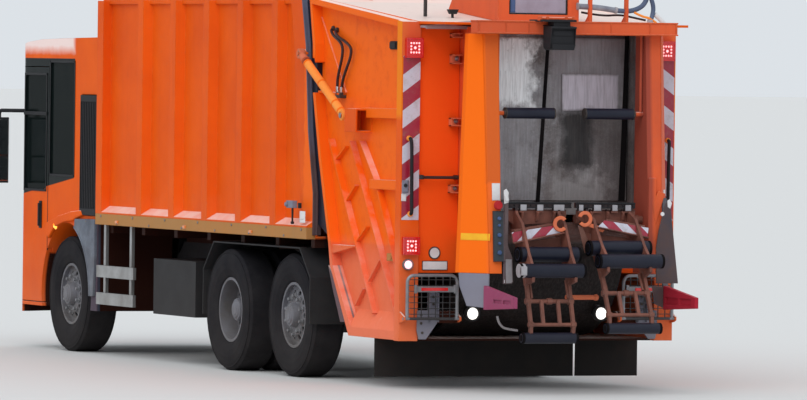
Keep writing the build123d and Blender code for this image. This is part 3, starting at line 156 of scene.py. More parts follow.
def make_road_dust_group():
    """Dust that thickens towards the road, broken up by a noise."""
    group, come = start_group("road dust", {"Low": 0.3, "High": 1.6, "Amount": 0.7, "Break Up": 0.5})
    here = own_place(group)
    uneven = reckon(group, "SUBTRACT", noise(group, here, 5.0, 5.0, 0.6), 0.5)
    height = reckon(group, "MULTIPLY_ADD", uneven, come["Break Up"], split(group, here)["Z"])
    fall = ramp(group, height, come["High"], come["Low"])
    return end_group(group, Mask=reckon(group, "MULTIPLY", fall, come["Amount"], clamp=True))


def make_edge_wear_and_highlight_group():
    """Chips along edges: where a rounded normal leaves the true one, broken up by a noise.

    A bright tint laid through them is a painted edge highlight; bare steel laid through them is wear.
    """
    group, come = start_group("edge wear", {"Radius": 0.01, "Amount": 1.0, "Scale": 30.0})
    rounded = place(group, "ShaderNodeBevel", {"Radius": come["Radius"]}, samples=3).outputs["Normal"]
    true_normal = place(group, "ShaderNodeNewGeometry").outputs["Normal"]
    edge = ramp(group, reckon_vector(group, "DOT_PRODUCT", rounded, true_normal), 0.985, 0.86)
    chip = ramp(group, noise(group, own_place(group), come["Scale"], 4.0, 0.7), 0.45, 0.62)
    chipped = reckon(group, "MULTIPLY", edge, chip)
    return end_group(group, Mask=reckon(group, "MULTIPLY", chipped, come["Amount"], clamp=True), Normal=rounded)


def make_sheet_relief_group():
    """Height of a painted sheet: broad dents and a fine orange peel."""
    group, come = start_group("sheet relief", {"Dents": 0.6, "Peel": 0.1})
    here = own_place(group)
    dents = reckon(group, "MULTIPLY", noise(group, here, 1.7, 2.0), come["Dents"])
    return end_group(group, Height=reckon(group, "MULTIPLY_ADD", noise(group, here, 160.0, 2.0), come["Peel"], dents))


def make_stripes_group():
    """Slanted warning stripes across the rear, as a mask that is 0 or 1."""
    group, come = start_group("warning stripes", {"Period": 0.27, "Slope": 1.0, "Shift": 0.0})
    own = split(group, own_place(group))
    total = reckon(group, "MULTIPLY_ADD", own["Y"], come["Slope"], own["Z"])
    turns = reckon(group, "DIVIDE", reckon(group, "ADD", total, come["Shift"]), come["Period"])
    return end_group(group, Mask=reckon(group, "GREATER_THAN", reckon(group, "FRACT", turns), 0.5))


def make_zone_group():
    """A box-shaped part of the truck, with soft uneven edges. Both Sides mirrors it about the middle."""
    group, come = start_group("zone", {"Low": (0, 0, 0), "High": (1, 1, 1), "Soft": 0.02, "Slope": 0.0,
                                       "Uneven": 0.0, "Both Sides": 1.0})
    here = own_place(group)
    own = split(group, here)
    folded = reckon(group, "ABSOLUTE", own["Y"])
    across = place(group, "ShaderNodeMix", {"Factor": come["Both Sides"], 2: own["Y"], 3: folded}, data_type="FLOAT")
    raised = reckon(group, "MULTIPLY_ADD", own["X"], come["Slope"], own["Z"])
    spot = place(group, "ShaderNodeCombineXYZ", {"X": own["X"], "Y": across.outputs[0], "Z": raised}).outputs["Vector"]
    spread = reckon(group, "SUBTRACT", noise(group, here, 9.0, 5.0, 0.65), 0.5)
    moved = reckon_vector(group, "ADD", spot, reckon(group, "MULTIPLY", spread, come["Uneven"]))
    above = reckon_vector(group, "SUBTRACT", moved, come["Low"])
    below = reckon_vector(group, "SUBTRACT", come["High"], moved)
    inside = split(group, reckon_vector(group, "MINIMUM", above, below))
    least = reckon(group, "MINIMUM", reckon(group, "MINIMUM", inside["X"], inside["Y"]), inside["Z"])
    return end_group(group, Mask=reckon(group, "ADD", reckon(group, "DIVIDE", least, come["Soft"]), 0.5, clamp=True))


def make_facing_up_group():
    """Where a surface faces the sky, broken up by a noise."""
    group, come = start_group("facing up", {"From": 0.5, "Uneven": 0.4})
    rise = split(group, place(group, "ShaderNodeNewGeometry").outputs["Normal"])["Z"]
    spread = reckon(group, "SUBTRACT", noise(group, own_place(group), 4.0, 5.0, 0.65), 0.5)
    total = reckon(group, "MULTIPLY_ADD", spread, come["Uneven"], rise)
    return end_group(group, Mask=ramp(group, total, come["From"], 0.95))


PATCHES = make_patches_group()
STREAKS = make_streaks_group()
ROAD_DUST = make_road_dust_group()
EDGE_WEAR_AND_HIGHLIGHT = make_edge_wear_and_highlight_group()
SHEET_RELIEF = make_sheet_relief_group()
STRIPES = make_stripes_group()
ZONE = make_zone_group()
FACING_UP = make_facing_up_group()


def start_material(name, metallic=0.0, coat=0.0, coat_roughness=0.15, shine=0.5):
    """A material's node tree and shader, with the constants set on the shader's own sockets."""
    material = bpy.data.materials.new(name)
    material.use_nodes = True
    shader = material.node_tree.nodes["Principled BSDF"]
    for socket, value in (("Metallic", metallic), ("Specular IOR Level", shine), ("Coat Weight", coat),
                          ("Coat Roughness", coat_roughness)):
        shader.inputs[socket].default_value = value
    return material, material.node_tree, shader


def dress(tree, shader, colour, rough, height=None, distance=0.0, normal=None):
    """Feeds a shader its colour, its roughness and a bump where there is a height, on a softened normal."""
    tree.links.new(colour, shader.inputs["Base Color"])
    if rough:
        tree.links.new(rough, shader.inputs["Roughness"])
    if height:
        bump = place(tree, "ShaderNodeBump", {"Distance": distance, "Height": height})
        tree.links.new(bump.outputs["Normal"], shader.inputs["Normal"])
        if normal:
            tree.links.new(normal, bump.inputs["Normal"])


def effect(tree, group, **values):
    """The outputs of a shared effect, placed in a material with its own values."""
    named = {name.replace("_", " "): value for name, value in values.items()}
    return place(tree, "ShaderNodeGroup", named, node_tree=group).outputs


def layer(tree, under, mask, colour, strength=1.0):
    """A colour laid over another one through a mask. Each of the first two is a socket or a colour."""
    if strength != 1.0:
        mask = reckon(tree, "MULTIPLY", mask, strength)
    return place(tree, "ShaderNodeMix", {"Factor": mask, 6: under, 7: colour}, data_type="RGBA").outputs[2]


def zone(tree, x, y, z, soft=0.02, slope=0.0, uneven=0.0, both_sides=1.0):
    """The mask of a part of the truck: its stations, widths and heights (raised along X by a slope)."""
    low = (REAR_FACE + min(x), min(y), min(z))
    high = (REAR_FACE + max(x), max(y), max(z))
    return effect(tree, ZONE, Low=low, High=high, Soft=soft, Slope=slope, Uneven=uneven, Both_Sides=both_sides)["Mask"]


def lay_zones(tree, mixed, zones):
    """Lays parts of the truck in another colour over a colour: (colour, strength, the zone's values) for each."""
    for tint, strength, spot in zones:
        mixed = layer(tree, mixed, zone(tree, **spot), tint, strength)
    return mixed


def painted(name, colour, shade, dust_high=1.5, dust_amount=0.4, streak_amount=0.35, wear_and_highlight=0.6, gloss=0.5,
            shine=0.05, zones=(), top=0.0, panes=(), edge=EDGE_HIGHLIGHT, dirt=SALMON_DUST):
    """Vehicle paint: uneven colour, dirt that runs down, road dust, chipped edges and a dented sheet.

    top is how pale the surfaces that face the sky are: a painted sky reflection with dust. panes are zones that look
    like dark glass. The chipped edges, in the default bright edge tint, are a painted highlight.
    """
    material, tree, shader = start_material(name, coat_roughness=0.2, shine=shine)
    patches = effect(tree, PATCHES, Scale=1.3, From=0.35, To=0.7)["Mask"]
    spots = effect(tree, PATCHES, Scale=22.0, From=0.56, To=0.75, Roughness=0.75)["Mask"]
    streaks = effect(tree, STREAKS, Fineness=7.0, From=0.52, To=0.8)["Mask"]
    dust = effect(tree, ROAD_DUST, Low=0.35, High=dust_high, Amount=dust_amount, Break_Up=0.9)["Mask"]
    edges = effect(tree, EDGE_WEAR_AND_HIGHLIGHT, Radius=0.012, Amount=wear_and_highlight, Scale=26.0)
    sheet = effect(tree, SHEET_RELIEF, Dents=0.9, Peel=0.02)["Height"]
    mixed = layer(tree, colour, patches, shade, 0.45)
    mixed = layer(tree, mixed, streaks, shade, streak_amount)
    mixed = layer(tree, mixed, spots, DUST, 0.12)
    # Chipped edges: the default bright orange tint is a painted highlight, bare steel is wear
    mixed = layer(tree, mixed, edges["Mask"], edge, 0.6)
    mixed = layer(tree, mixed, dust, dirt)
    mixed = lay_zones(tree, mixed, zones)
    # Surfaces that face the sky are made pale: a painted sky reflection with dust
    if top:
        mixed = layer(tree, mixed, effect(tree, FACING_UP, From=0.55, Uneven=0.5)["Mask"], SKY_SHEEN_AND_DUST, top)
    rough = ramp(tree, dust, to_low=gloss, to_high=0.75)
    for spot in panes:
        mask = zone(tree, **spot)
        mixed = layer(tree, mixed, mask, GLASS_DARK)
        rough = place(tree, "ShaderNodeMix", {"Factor": mask, 2: rough, 3: 0.08}, data_type="FLOAT").outputs[0]
    dress(tree, shader, mixed, rough, sheet, 0.012, edges["Normal"])
    return material


def plain_part(name, colour, shade, rough=(0.4, 0.7), metallic=0.0, dust=0.2, grain=90.0, depth=0.0006, wear_and_highlight=0.3,
               shine=0.3, zones=()):
    """Plastic, rubber, castings and frame steel: mottled, dusty, with a fine grain."""
    material, tree, shader = start_material(name, metallic=metallic, shine=shine)
    patches = effect(tree, PATCHES, Scale=4.0, From=0.35, To=0.7)["Mask"]
    dusty = effect(tree, ROAD_DUST, Low=0.1, High=1.3, Amount=dust, Break_Up=0.8)["Mask"]
    edges = effect(tree, EDGE_WEAR_AND_HIGHLIGHT, Radius=0.008, Amount=wear_and_highlight, Scale=35.0)
    grains = effect(tree, PATCHES, Scale=grain, From=0.3, To=0.7)["Mask"]
    mixed = layer(tree, colour, patches, shade)
    mixed = layer(tree, mixed, edges["Mask"], BARE_STEEL)
    mixed = layer(tree, mixed, dusty, DUST)
    mixed = lay_zones(tree, mixed, zones)
    dress(tree, shader, mixed, ramp(tree, patches, to_low=rough[0], to_high=rough[1]), grains, depth, edges["Normal"])
    return material


def worn_steel(name="worn_steel", zones=(), metallic=0.25, shine=0.5):
    """Bare steel scoured in streaks, sooty above and rusty towards its foot."""
    material, tree, shader = start_material(name, metallic=metallic, shine=shine)
    patches = effect(tree, PATCHES, Scale=2.2, From=0.38, To=0.62, Roughness=0.7)["Mask"]
    scours = effect(tree, STREAKS, Fineness=14.0, From=0.42, To=0.68)["Mask"]
    fine = effect(tree, STREAKS, Fineness=60.0, From=0.4, To=0.7)["Mask"]
    speckle = effect(tree, PATCHES, Scale=60.0, From=0.5, To=0.62, Roughness=0.8)["Mask"]
    low_rust = effect(tree, ROAD_DUST, Low=1.5, High=2.15, Amount=0.9, Break_Up=0.7)["Mask"]
    mixed = layer(tree, (0.15, 0.142, 0.148, 1), scours, (0.4, 0.385, 0.4, 1), 0.8)
    mixed = layer(tree, mixed, patches, (0.075, 0.056, 0.05, 1), 0.7)
    mixed = layer(tree, mixed, low_rust, (0.13, 0.07, 0.055, 1), 0.5)
    mixed = layer(tree, mixed, speckle, (0.5, 0.46, 0.45, 1), 0.25)
    mixed = lay_zones(tree, mixed, ((tint, strength, {"both_sides": 0.0, **spot}) for tint, strength, spot in zones))
    mixed = layer(tree, mixed, fine, (0.09, 0.075, 0.072, 1), 0.35)
    dress(tree, shader, mixed, ramp(tree, patches, to_low=0.38, to_high=0.75), scours, 0.0015)
    return material


def tinted_glass(name, colour, rough, alpha):
    """A dark pane that shows a little of what is behind it."""
    material, tree, shader = start_material(name, shine=0.012)
    smears = effect(tree, PATCHES, Scale=6.0, From=0.4, To=0.75)["Mask"]
    mixed = layer(tree, colour, smears, DUST, 0.015)
    dress(tree, shader, mixed, ramp(tree, smears, to_low=rough, to_high=rough + 0.12))
    shader.inputs["Alpha"].default_value = alpha
    return material


def lens(name, colour, glow=None, strength=0.0, black=None):
    """A ribbed lamp lens, black where a zone is given."""
    material, tree, shader = start_material(name, coat=0.8, coat_roughness=0.06)
    ribs = place(tree, "ShaderNodeTexWave", {"Vector": own_place(tree), "Scale": 28.0, "Distortion": 0.0},
                 bands_direction="Z").outputs["Fac"]
    mixed = layer(tree, colour, ribs, tuple(part * 0.55 for part in colour[:3]) + (1,), 0.6)
    if glow:
        shader.inputs["Emission Color"].default_value = glow
        shader.inputs["Emission Strength"].default_value = strength
    if black:
        mask = zone(tree, **black)
        mixed = layer(tree, mixed, mask, BLACK)
        tree.links.new(layer(tree, glow, mask, (0, 0, 0, 1)), shader.inputs["Emission Color"])
    shader.inputs["Roughness"].default_value = 0.2
    dress(tree, shader, mixed, None, ribs, 0.002)
    return material


def striped(name, period, slope, shift):
    """Retroreflective warning stripes, scuffed."""
    material, tree, shader = start_material(name, coat=0.3)
    bands = effect(tree, STRIPES, Period=period, Slope=slope, Shift=shift)["Mask"]
    scuffs = effect(tree, PATCHES, Scale=14.0, From=0.5, To=0.72, Roughness=0.75)["Mask"]
    mixed = layer(tree, layer(tree, STRIPE_RED, bands, STRIPE_PALE), scuffs, DUST, 0.45)
    dress(tree, shader, mixed, ramp(tree, scuffs, to_low=0.35, to_high=0.6))
    return material


# The packer plate's looks: colour, strength and where, all on its rear face
DEPTH = (-0.4, 0.1)
PLATE_ZONES = (
    ((0.3, 0.28, 0.3, 1), 0.75, dict(x=DEPTH, y=(-0.66, 0.03), z=(2.3, 3.06), soft=0.1, uneven=0.3)),
    ((0.1, 0.085, 0.085, 1), 0.6, dict(x=DEPTH, y=(-0.72, -0.05), z=(1.45, 2.34), soft=0.15, uneven=0.35)),
    ((0.42, 0.42, 0.45, 1), 0.6, dict(x=DEPTH, y=(0.1, 0.7), z=(1.45, 2.62), soft=0.2, uneven=0.5)),
    # Near-white at the upper left: painted light that lifts the plate out of its shade in the deep recess
    ((0.95, 0.98, 1.0, 1), 0.95, dict(x=DEPTH, y=(0.2, 0.69), z=(2.4, 3.0), soft=0.12, uneven=0.42)),
    ((0.6, 0.55, 0.62, 1), 0.9, dict(x=DEPTH, y=(-0.585, -0.085), z=(2.36, 2.65), soft=0.02, uneven=0.03)),
    ((0.01, 0.009, 0.01, 1), 0.92, dict(x=DEPTH, y=(-0.366, -0.082), z=(1.88, 2.34), soft=0.08, uneven=0.18)),
    ((0.45, 0.43, 0.43, 1), 0.5, dict(x=DEPTH, y=(-0.5, 0.0), z=(1.45, 1.8), soft=0.12, uneven=0.45)),
    ((0.015, 0.012, 0.012, 1), 0.8, dict(x=DEPTH, y=(-0.72, 0.72), z=(2.965, 3.1), soft=0.05, uneven=0.05)),
)
# The hopper's outside, in the shade under the lifter
HOPPER_ZONES = (
    ((0.01, 0.008, 0.008, 1), 0.95, dict(x=(-0.7, 1.75), y=(-1.3, 1.3), z=(0.3, 1.22), soft=0.12, uneven=0.1)),
    ((0.16, 0.06, 0.045, 1), 0.6, dict(x=(-0.7, -0.3), y=(-1.3, 1.3), z=(1.22, 1.5), soft=0.1, uneven=0.1)),
    ((0.95, 0.095, 0.008, 1), 0.9, dict(x=(-0.6, 0.07), y=(0.712, 0.73), z=(1.3, 3.09), soft=0.006)),
    ((0.95, 0.095, 0.008, 1), 0.9, dict(x=(-0.6, 0.07), y=(-0.73, -0.712), z=(1.3, 3.09), soft=0.006)),
)

# Parts of the orange shells in another tone; stations, widths and heights. Their near-black zones are painted shade
# under and inside the shells.
# The recess's lighter orange is painted light that lifts it out of the shade it lies in
RECESS = dict(x=(0.025, 0.055), y=(0.7, 1.092), z=(0.96, 3.07), soft=0.004)
TAILGATE_SIDE = dict(x=(0.02, 2.3), y=(1.095, 1.23), z=(1.2, 3.3), soft=0.03, uneven=0.1)
TAILGATE_FOOT = dict(x=(0.115, 2.0), y=(1.095, 1.3), z=(-0.2, 1.1), soft=0.35, uneven=0.2)
ORANGE_ZONES = (
    ((1.0, 0.165, 0.008, 1), 0.7, TAILGATE_SIDE),
    ((0.92, 0.24, 0.14, 1), 0.8, TAILGATE_FOOT),
    ((1.0, 0.112, 0.012, 1), 0.97, RECESS),
    ((1.0, 0.34, 0.004, 1), 0.85, dict(x=(0.004, 0.12), y=(1.24, 1.27), z=(2.3, 3.1), soft=0.1)),
    ((0.74, 0.125, 0.055, 1), 0.8, dict(x=(-0.01, 0.004), y=(1.083, 1.26), z=(2.78, 3.1), soft=0.01)),
    (PAINTED_UNDER_SHADE, 0.97, dict(x=(1.9, 7.35), y=(-0.1, 1.205), z=(0.5, 1.212), soft=0.02, uneven=0.02)),
    (PAINTED_UNDER_SHADE, 0.95, dict(x=(-0.05, 1.9), y=(-0.1, 1.08), z=(0.3, 0.97), soft=0.012)),
    (PAINTED_UNDER_SHADE, 0.8, dict(x=(0.06, 2.3), y=(-0.1, 1.08), z=(0.3, 3.25), soft=0.012)),
    ((0.1, 0.1, 0.12, 1), 0.92, dict(x=(1.25, 1.9), y=(1.132, 1.15), z=(0.45, 0.997), soft=0.008)),
)
LEFT_FACE = dict(x=(-0.9, -0.4), y=(0.66, 0.97), z=(0.98, 2.985), soft=0.01, both_sides=0.0)
PORTAL_ZONES = (
    ((1.0, 0.165, 0.009, 1), 1.0, LEFT_FACE),
    ((0.62, 0.12, 0.03, 1), 0.75, dict(x=(-0.9, -0.55), y=(0.6, 0.795), z=(1.75, 2.985), soft=0.03, both_sides=0.0)),
    ((0.85, 0.16, 0.045, 1), 0.6, dict(x=(-0.9, -0.55), y=(0.6, 0.79), z=(0.98, 1.75), soft=0.03, both_sides=0.0)),
    # Painted shade along the right column's inner edge
    ((0.28, 0.06, 0.045, 1), 0.8, dict(x=(-0.9, -0.4), y=(-0.715, -0.64), z=(0.98, 2.985), soft=0.03, uneven=0.02,
                                       both_sides=0.0)),
)
# Slope that makes the windows' sill a level line
SILL_SLOPE = 0.1242
SILL_Z = 1.42 + SILL_SLOPE * (REAR_FACE + 9.57)
# The cab's first zone is a painted sky reflection on its roof, and its two near-black zones are painted shade under
# the cab
CAB_ZONES = (
    ((0.98, 0.82, 0.78, 1), 0.92, dict(x=(8.02, 10.4), y=(-0.1, 1.3), z=(2.8, 3.4), soft=0.09, uneven=0.04)),
    (PAINTED_UNDER_SHADE, 0.97, dict(x=(6.9, 8.2), y=(-0.1, 1.19), z=(0.2, 1.3), soft=0.02)),
    (PAINTED_UNDER_SHADE, 0.97, dict(x=(8.2, 10.2), y=(-0.1, 1.165), z=(0.2, 0.9), soft=0.02)),
    (BLACK, 0.97, dict(x=(8.693, 8.707), y=(1.19, 1.25), z=(0.45, 2.7), soft=0.003)),
    ((0.06, 0.07, 0.1, 1), 0.95, dict(x=(7.2, 7.62), y=(1.17, 1.3), z=(0.2, 1.245), soft=0.01)),
)
CAB_PANES = (
    dict(x=(8.0, 9.6), y=(1.1, 1.3), z=(1.645, 2.725), soft=0.006),
    dict(x=(8.0, 9.6), y=(1.1, 1.3), z=(SILL_Z, SILL_Z + 0.45), soft=0.006, slope=SILL_SLOPE),
)

BRACKET_ZONES = (
    ((0.035, 0.045, 0.05, 1), 0.9, dict(x=(-0.84, -0.76), y=(0.64, 0.76), z=(1.09, 1.53), soft=0.01, both_sides=0.0)),
    ((0.15, 0.105, 0.11, 1), 0.9, dict(x=(-0.83, -0.795), y=(0.56, 0.664), z=(0.9, 1.63), soft=0.01, both_sides=0.0)),
    ((0.06, 0.048, 0.06, 1), 0.92, dict(x=(-0.9, -0.4), y=(-1.1, -0.6), z=(0.7, 1.66), soft=0.01, both_sides=0.0)),
)
GUARD_ZONES = (
    ((0.42, 0.018, 0.03, 1), 0.9, dict(x=(-1.5, -0.8), y=(-0.85, -0.79), z=(0.6, 1.0), soft=0.01, both_sides=0.0)),
)
# The upper part of the seal in front of the tailgate, which is blue-grey
SEAL_TOP = dict(x=(1.9, 2.6), y=(1.05, 1.3), z=(2.05, 3.4), soft=0.3, uneven=0.1)
# The reversing lamps' housings
LOW_LAMPS = dict(x=(-0.1, 0.2), y=(-0.1, 0.75), z=(0.5, 0.76), soft=0.01)
# The black edge over the lifter's combs
COMB_ZONES = (((0.012, 0.012, 0.016, 1), 0.92, dict(x=(-0.76, -0.69), y=(-0.1, 0.66), z=(1.52, 1.62), soft=0.006)),)
# The mesh inside a footboard's hoop
MESH = dict(x=(-0.1, -0.06), y=(0.785, 1.195), z=(0.55, 0.94), soft=0.01)

FINISHES = {
    "orange_paint": painted("orange_paint_worn", ORANGE, ORANGE_DEEP, top=0.85, zones=ORANGE_ZONES),
    "portal_paint": painted("portal_paint_worn", (0.76, 0.125, 0.042, 1), (0.4, 0.07, 0.04, 1), top=0.5,
                            zones=PORTAL_ZONES),
    "roof_paint": painted("roof_paint_faded", (0.72, 0.3, 0.16, 1), (0.6, 0.2, 0.1, 1), top=0.6),
    "cab_orange": painted("cab_paint", (0.88, 0.125, 0.008, 1), ORANGE_DEEP, dust_high=1.1, dust_amount=0.25,
                          streak_amount=0.15, wear_and_highlight=0.2, gloss=0.45, shine=0.03, top=0.95, zones=CAB_ZONES,
                          panes=CAB_PANES),
    "rail_ochre": painted("dusty_rail", (0.42, 0.22, 0.075, 1), (0.55, 0.2, 0.04, 1), dust_high=1.6, dust_amount=0.2),
    "grey_paint": painted("grey_bracket_paint", (0.24, 0.24, 0.3, 1), (0.15, 0.15, 0.2, 1), dust_high=1.2,
                          dust_amount=0.2, edge=BARE_STEEL, dirt=DUST, zones=BRACKET_ZONES),
    "guard_red": painted("guard_paint", (0.34, 0.07, 0.15, 1), (0.22, 0.03, 0.08, 1), dust_amount=0.05,
                         edge=BARE_STEEL, dirt=DUST, zones=GUARD_ZONES),
    "cylinder_paint": painted("cylinder_paint_worn", (1.0, 0.4, 0.08, 1), ORANGE, dust_amount=0.1),
    "chassis_black": plain_part("frame_black", BLACK, (0.03, 0.028, 0.03, 1), shine=0.12, dust=0.1),
    "black_plastic": plain_part("black_moulding", (0.022, 0.022, 0.025, 1), (0.03, 0.03, 0.032, 1), rough=(0.45, 0.6),
                                wear_and_highlight=0.05, dust=0.06, grain=220.0, depth=0.0003, shine=0.08),
    "tyre_rubber": plain_part("tyre_rubber_dusty", (0.012, 0.012, 0.016, 1), (0.026, 0.025, 0.028, 1),
                              rough=(0.75, 0.9), wear_and_highlight=0, dust=0.05, grain=60.0, shine=0.06),
    "wheel_steel": plain_part("wheel_paint", (0.16, 0.17, 0.21, 1), (0.09, 0.09, 0.1, 1), rough=(0.4, 0.6), dust=0.3),
    "guard_aluminium": plain_part("guard_rail_metal", (0.45, 0.46, 0.47, 1), (0.3, 0.3, 0.3, 1), rough=(0.3, 0.5),
                                  metallic=0.8, dust=0.4, wear_and_highlight=0.1),
    "rubber_black": plain_part("smooth_rubber", (0.006, 0.008, 0.02, 1), (0.014, 0.016, 0.03, 1), rough=(0.35, 0.55),
                               wear_and_highlight=0, dust=0.02, grain=120.0),
    "hose_rubber": plain_part("hose_sheath", (0.045, 0.016, 0.018, 1), (0.02, 0.01, 0.012, 1), wear_and_highlight=0, dust=0),
    "lifter_brown": plain_part("lifter_worn", (0.25, 0.09, 0.062, 1), (0.11, 0.042, 0.032, 1), rough=(0.45, 0.8),
                               metallic=0.1, dust=0.08, wear_and_highlight=0.4, zones=COMB_ZONES),
    "galvanised": plain_part("zinc_steel", GALVANISED, (0.2, 0.2, 0.21, 1), rough=(0.4, 0.6), metallic=0.6),
    "seat_fabric": plain_part("seat_cloth", (0.06, 0.06, 0.07, 1), (0.04, 0.04, 0.045, 1), rough=(0.85, 0.95), wear_and_highlight=0,
                              dust=0, grain=400.0, depth=0.0008),
    "steel_worn": worn_steel(),
    "rod_chrome": plain_part("rod_plating", (0.62, 0.62, 0.63, 1), (0.45, 0.44, 0.42, 1), rough=(0.12, 0.3),
                             metallic=1.0, dust=0, wear_and_highlight=0),
    "glass_dark": tinted_glass("tinted_pane", GLASS_DARK, 0.06, 0.94),
    "lamp_clear": lens("clear_lens", (0.7, 0.72, 0.75, 1)),
    "lamp_red": lens("red_lens", (0.45, 0.01, 0.012, 1)),
    "cluster_red": lens("cluster_red", LAMP_RED, LAMP_GLOW, 0.12),
    "led_lit": lens("lit_dots", (1.0, 0.5, 0.5, 1), (1.0, 0.38, 0.4, 1), 1.6),
    "lamp_lit_pink": lens("lit_pink_lens", (1.0, 0.55, 0.6, 1), (1.0, 0.5, 0.55, 1), 1.6),
    "lamp_lit_white": lens("lit_white_lens", (1.0, 0.97, 0.92, 1), (1.0, 0.95, 0.9, 1), 1.6),
    "amber_lens": lens("amber_lens", (0.8, 0.2, 0.01, 1), (1.0, 0.3, 0.02, 1), 0.1),
    "indicator_lit": lens("lit_indicator", (1.0, 0.5, 0.05, 1), (1.0, 0.52, 0.06, 1), 1.3),
    "mirror_silver": plain_part("mirror_glass", (0.55, 0.57, 0.6, 1), (0.45, 0.47, 0.5, 1), rough=(0.04, 0.12),
                                metallic=1.0, wear_and_highlight=0, dust=0.1, grain=30.0, depth=0.0001),
    "stripes_left": striped("post_stripes_left", 0.3, 0.72, 0.067),
    "stripes_right": striped("post_stripes_right", 0.3, -0.72, 0.067),
    "flap_stripes_left": striped("flap_stripes_left", 0.21, 1.0, 0.05),
    "flap_stripes_right": striped("flap_stripes_right", 0.21, -1.0, 0.05),
    "steel_dark": plain_part("dark_fitting", (0.035, 0.03, 0.03, 1), (0.07, 0.055, 0.045, 1), metallic=0.3),
    "gap_black": plain_part("open_gap", (0.006, 0.005, 0.006, 1), (0.012, 0.01, 0.01, 1), wear_and_highlight=0, dust=0, depth=0.0002,
                            shine=0.02),
    "blank_label": plain_part("blank_label", (0.84, 0.83, 0.84, 1), (0.62, 0.6, 0.6, 1), wear_and_highlight=0, dust=0.1,
                              depth=0.0002),
    "plate_blank": plain_part("blank_plate", (0.4, 0.36, 0.45, 1), (0.3, 0.26, 0.32, 1), wear_and_highlight=0.1, dust=0.1,
                              depth=0.0003),
    "seal_brown": plain_part("edge_seal_rubber", (0.115, 0.07, 0.072, 1), (0.07, 0.045, 0.048, 1), wear_and_highlight=0, dust=0.1,
                             shine=0.15, zones=(((0.11, 0.13, 0.2, 1), 0.85, SEAL_TOP),)),
    "plate_brown": plain_part("worn_brown_plate", (0.15, 0.105, 0.11, 1), (0.09, 0.06, 0.06, 1), wear_and_highlight=0.3, dust=0.1),
    "dark_plate": plain_part("dark_grey_plate", (0.06, 0.048, 0.06, 1), (0.11, 0.06, 0.05, 1), wear_and_highlight=0.5, dust=0.1),
    "yellow_band": plain_part("yellow_band", (0.98, 0.52, 0.018, 1), (0.85, 0.36, 0.015, 1), wear_and_highlight=0, dust=0.15,
                              depth=0.0002),
    "button_blue": plain_part("control_button", (0.08, 0.14, 0.3, 1), (0.05, 0.09, 0.2, 1), wear_and_highlight=0.1, dust=0.1),
    "button_red": plain_part("stop_button_red", (0.55, 0.015, 0.02, 1), (0.4, 0.01, 0.015, 1), wear_and_highlight=0, dust=0.1),
    "hook_orange": painted("hook_paint", (0.75, 0.2, 0.1, 1), (0.5, 0.1, 0.05, 1), dust_amount=0.1, wear_and_highlight=0.8),
    "pad_grey": plain_part("pale_nylon", (0.42, 0.41, 0.44, 1), (0.25, 0.23, 0.24, 1), wear_and_highlight=0.1, dust=0.3),
    "arm_brown": plain_part("arm_worn", (0.2, 0.085, 0.06, 1), (0.12, 0.05, 0.04, 1), dust=0.2, wear_and_highlight=0.5),
    "flap_grey": plain_part("mud_flap", (0.16, 0.19, 0.24, 1), (0.08, 0.09, 0.12, 1), wear_and_highlight=0, dust=0.3),
    "cylinder_shade": painted("cylinder_ring_paint", (1.0, 0.185, 0.006, 1), ORANGE, dust_amount=0.1),
    "wrap_grey": plain_part("woven_wrap", (0.4, 0.42, 0.47, 1), (0.16, 0.17, 0.22, 1), rough=(0.3, 0.5), metallic=0.4,
                            wear_and_highlight=0, dust=0, grain=260.0, depth=0.0012),
    "blue_hose": plain_part("blue_grey_hose", (0.11, 0.15, 0.24, 1), (0.06, 0.08, 0.14, 1), wear_and_highlight=0, dust=0.1),
}

# Nodes that don't wear their slot's common finish
OTHER_FINISHES = {
    "engine_block": FINISHES["chassis_black"],
    "hopper_portal": FINISHES["portal_paint"],
    "roof_housing": FINISHES["portal_paint"],
    "packer_plate": worn_steel("packer_plate_steel", PLATE_ZONES),
    "rubber_flaps": plain_part("flap_rubber", (0.01, 0.01, 0.012, 1), (0.02, 0.018, 0.018, 1), rough=(0.6, 0.85),
                               wear_and_highlight=0, dust=0.05, shine=0.1),
    "hopper_shell": worn_steel("hopper_steel", HOPPER_ZONES, 0.0, 0.08),
    "footboard_left": plain_part("footboard_steel", GALVANISED, (0.2, 0.2, 0.21, 1), metallic=0.5,
                                 zones=(((0.03, 0.028, 0.028, 1), 0.85, MESH),)),
    "rear_lamps": lens("lamp_bodies", LAMP_RED, LAMP_GLOW, 0.12, LOW_LAMPS),
}


def finish_frame():
    """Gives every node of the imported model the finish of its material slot, or its own."""
    OTHER_FINISHES["footboard_right"] = OTHER_FINISHES["footboard_left"]
    for name, node in NODES.items():
        node.data.materials.clear()
        node.data.materials.append(OTHER_FINISHES.get(name, FINISHES[SLOTS[name]]))


finish_frame()


def station(ahead):
    """The X of a place given by its distance ahead of the rear face."""
    return REAR_FACE + ahead


BOX_FACES = ((0, 1, 3, 2), (4, 6, 7, 5), (0, 4, 5, 1), (2, 3, 7, 6), (0, 2, 6, 4), (1, 5, 7, 3))


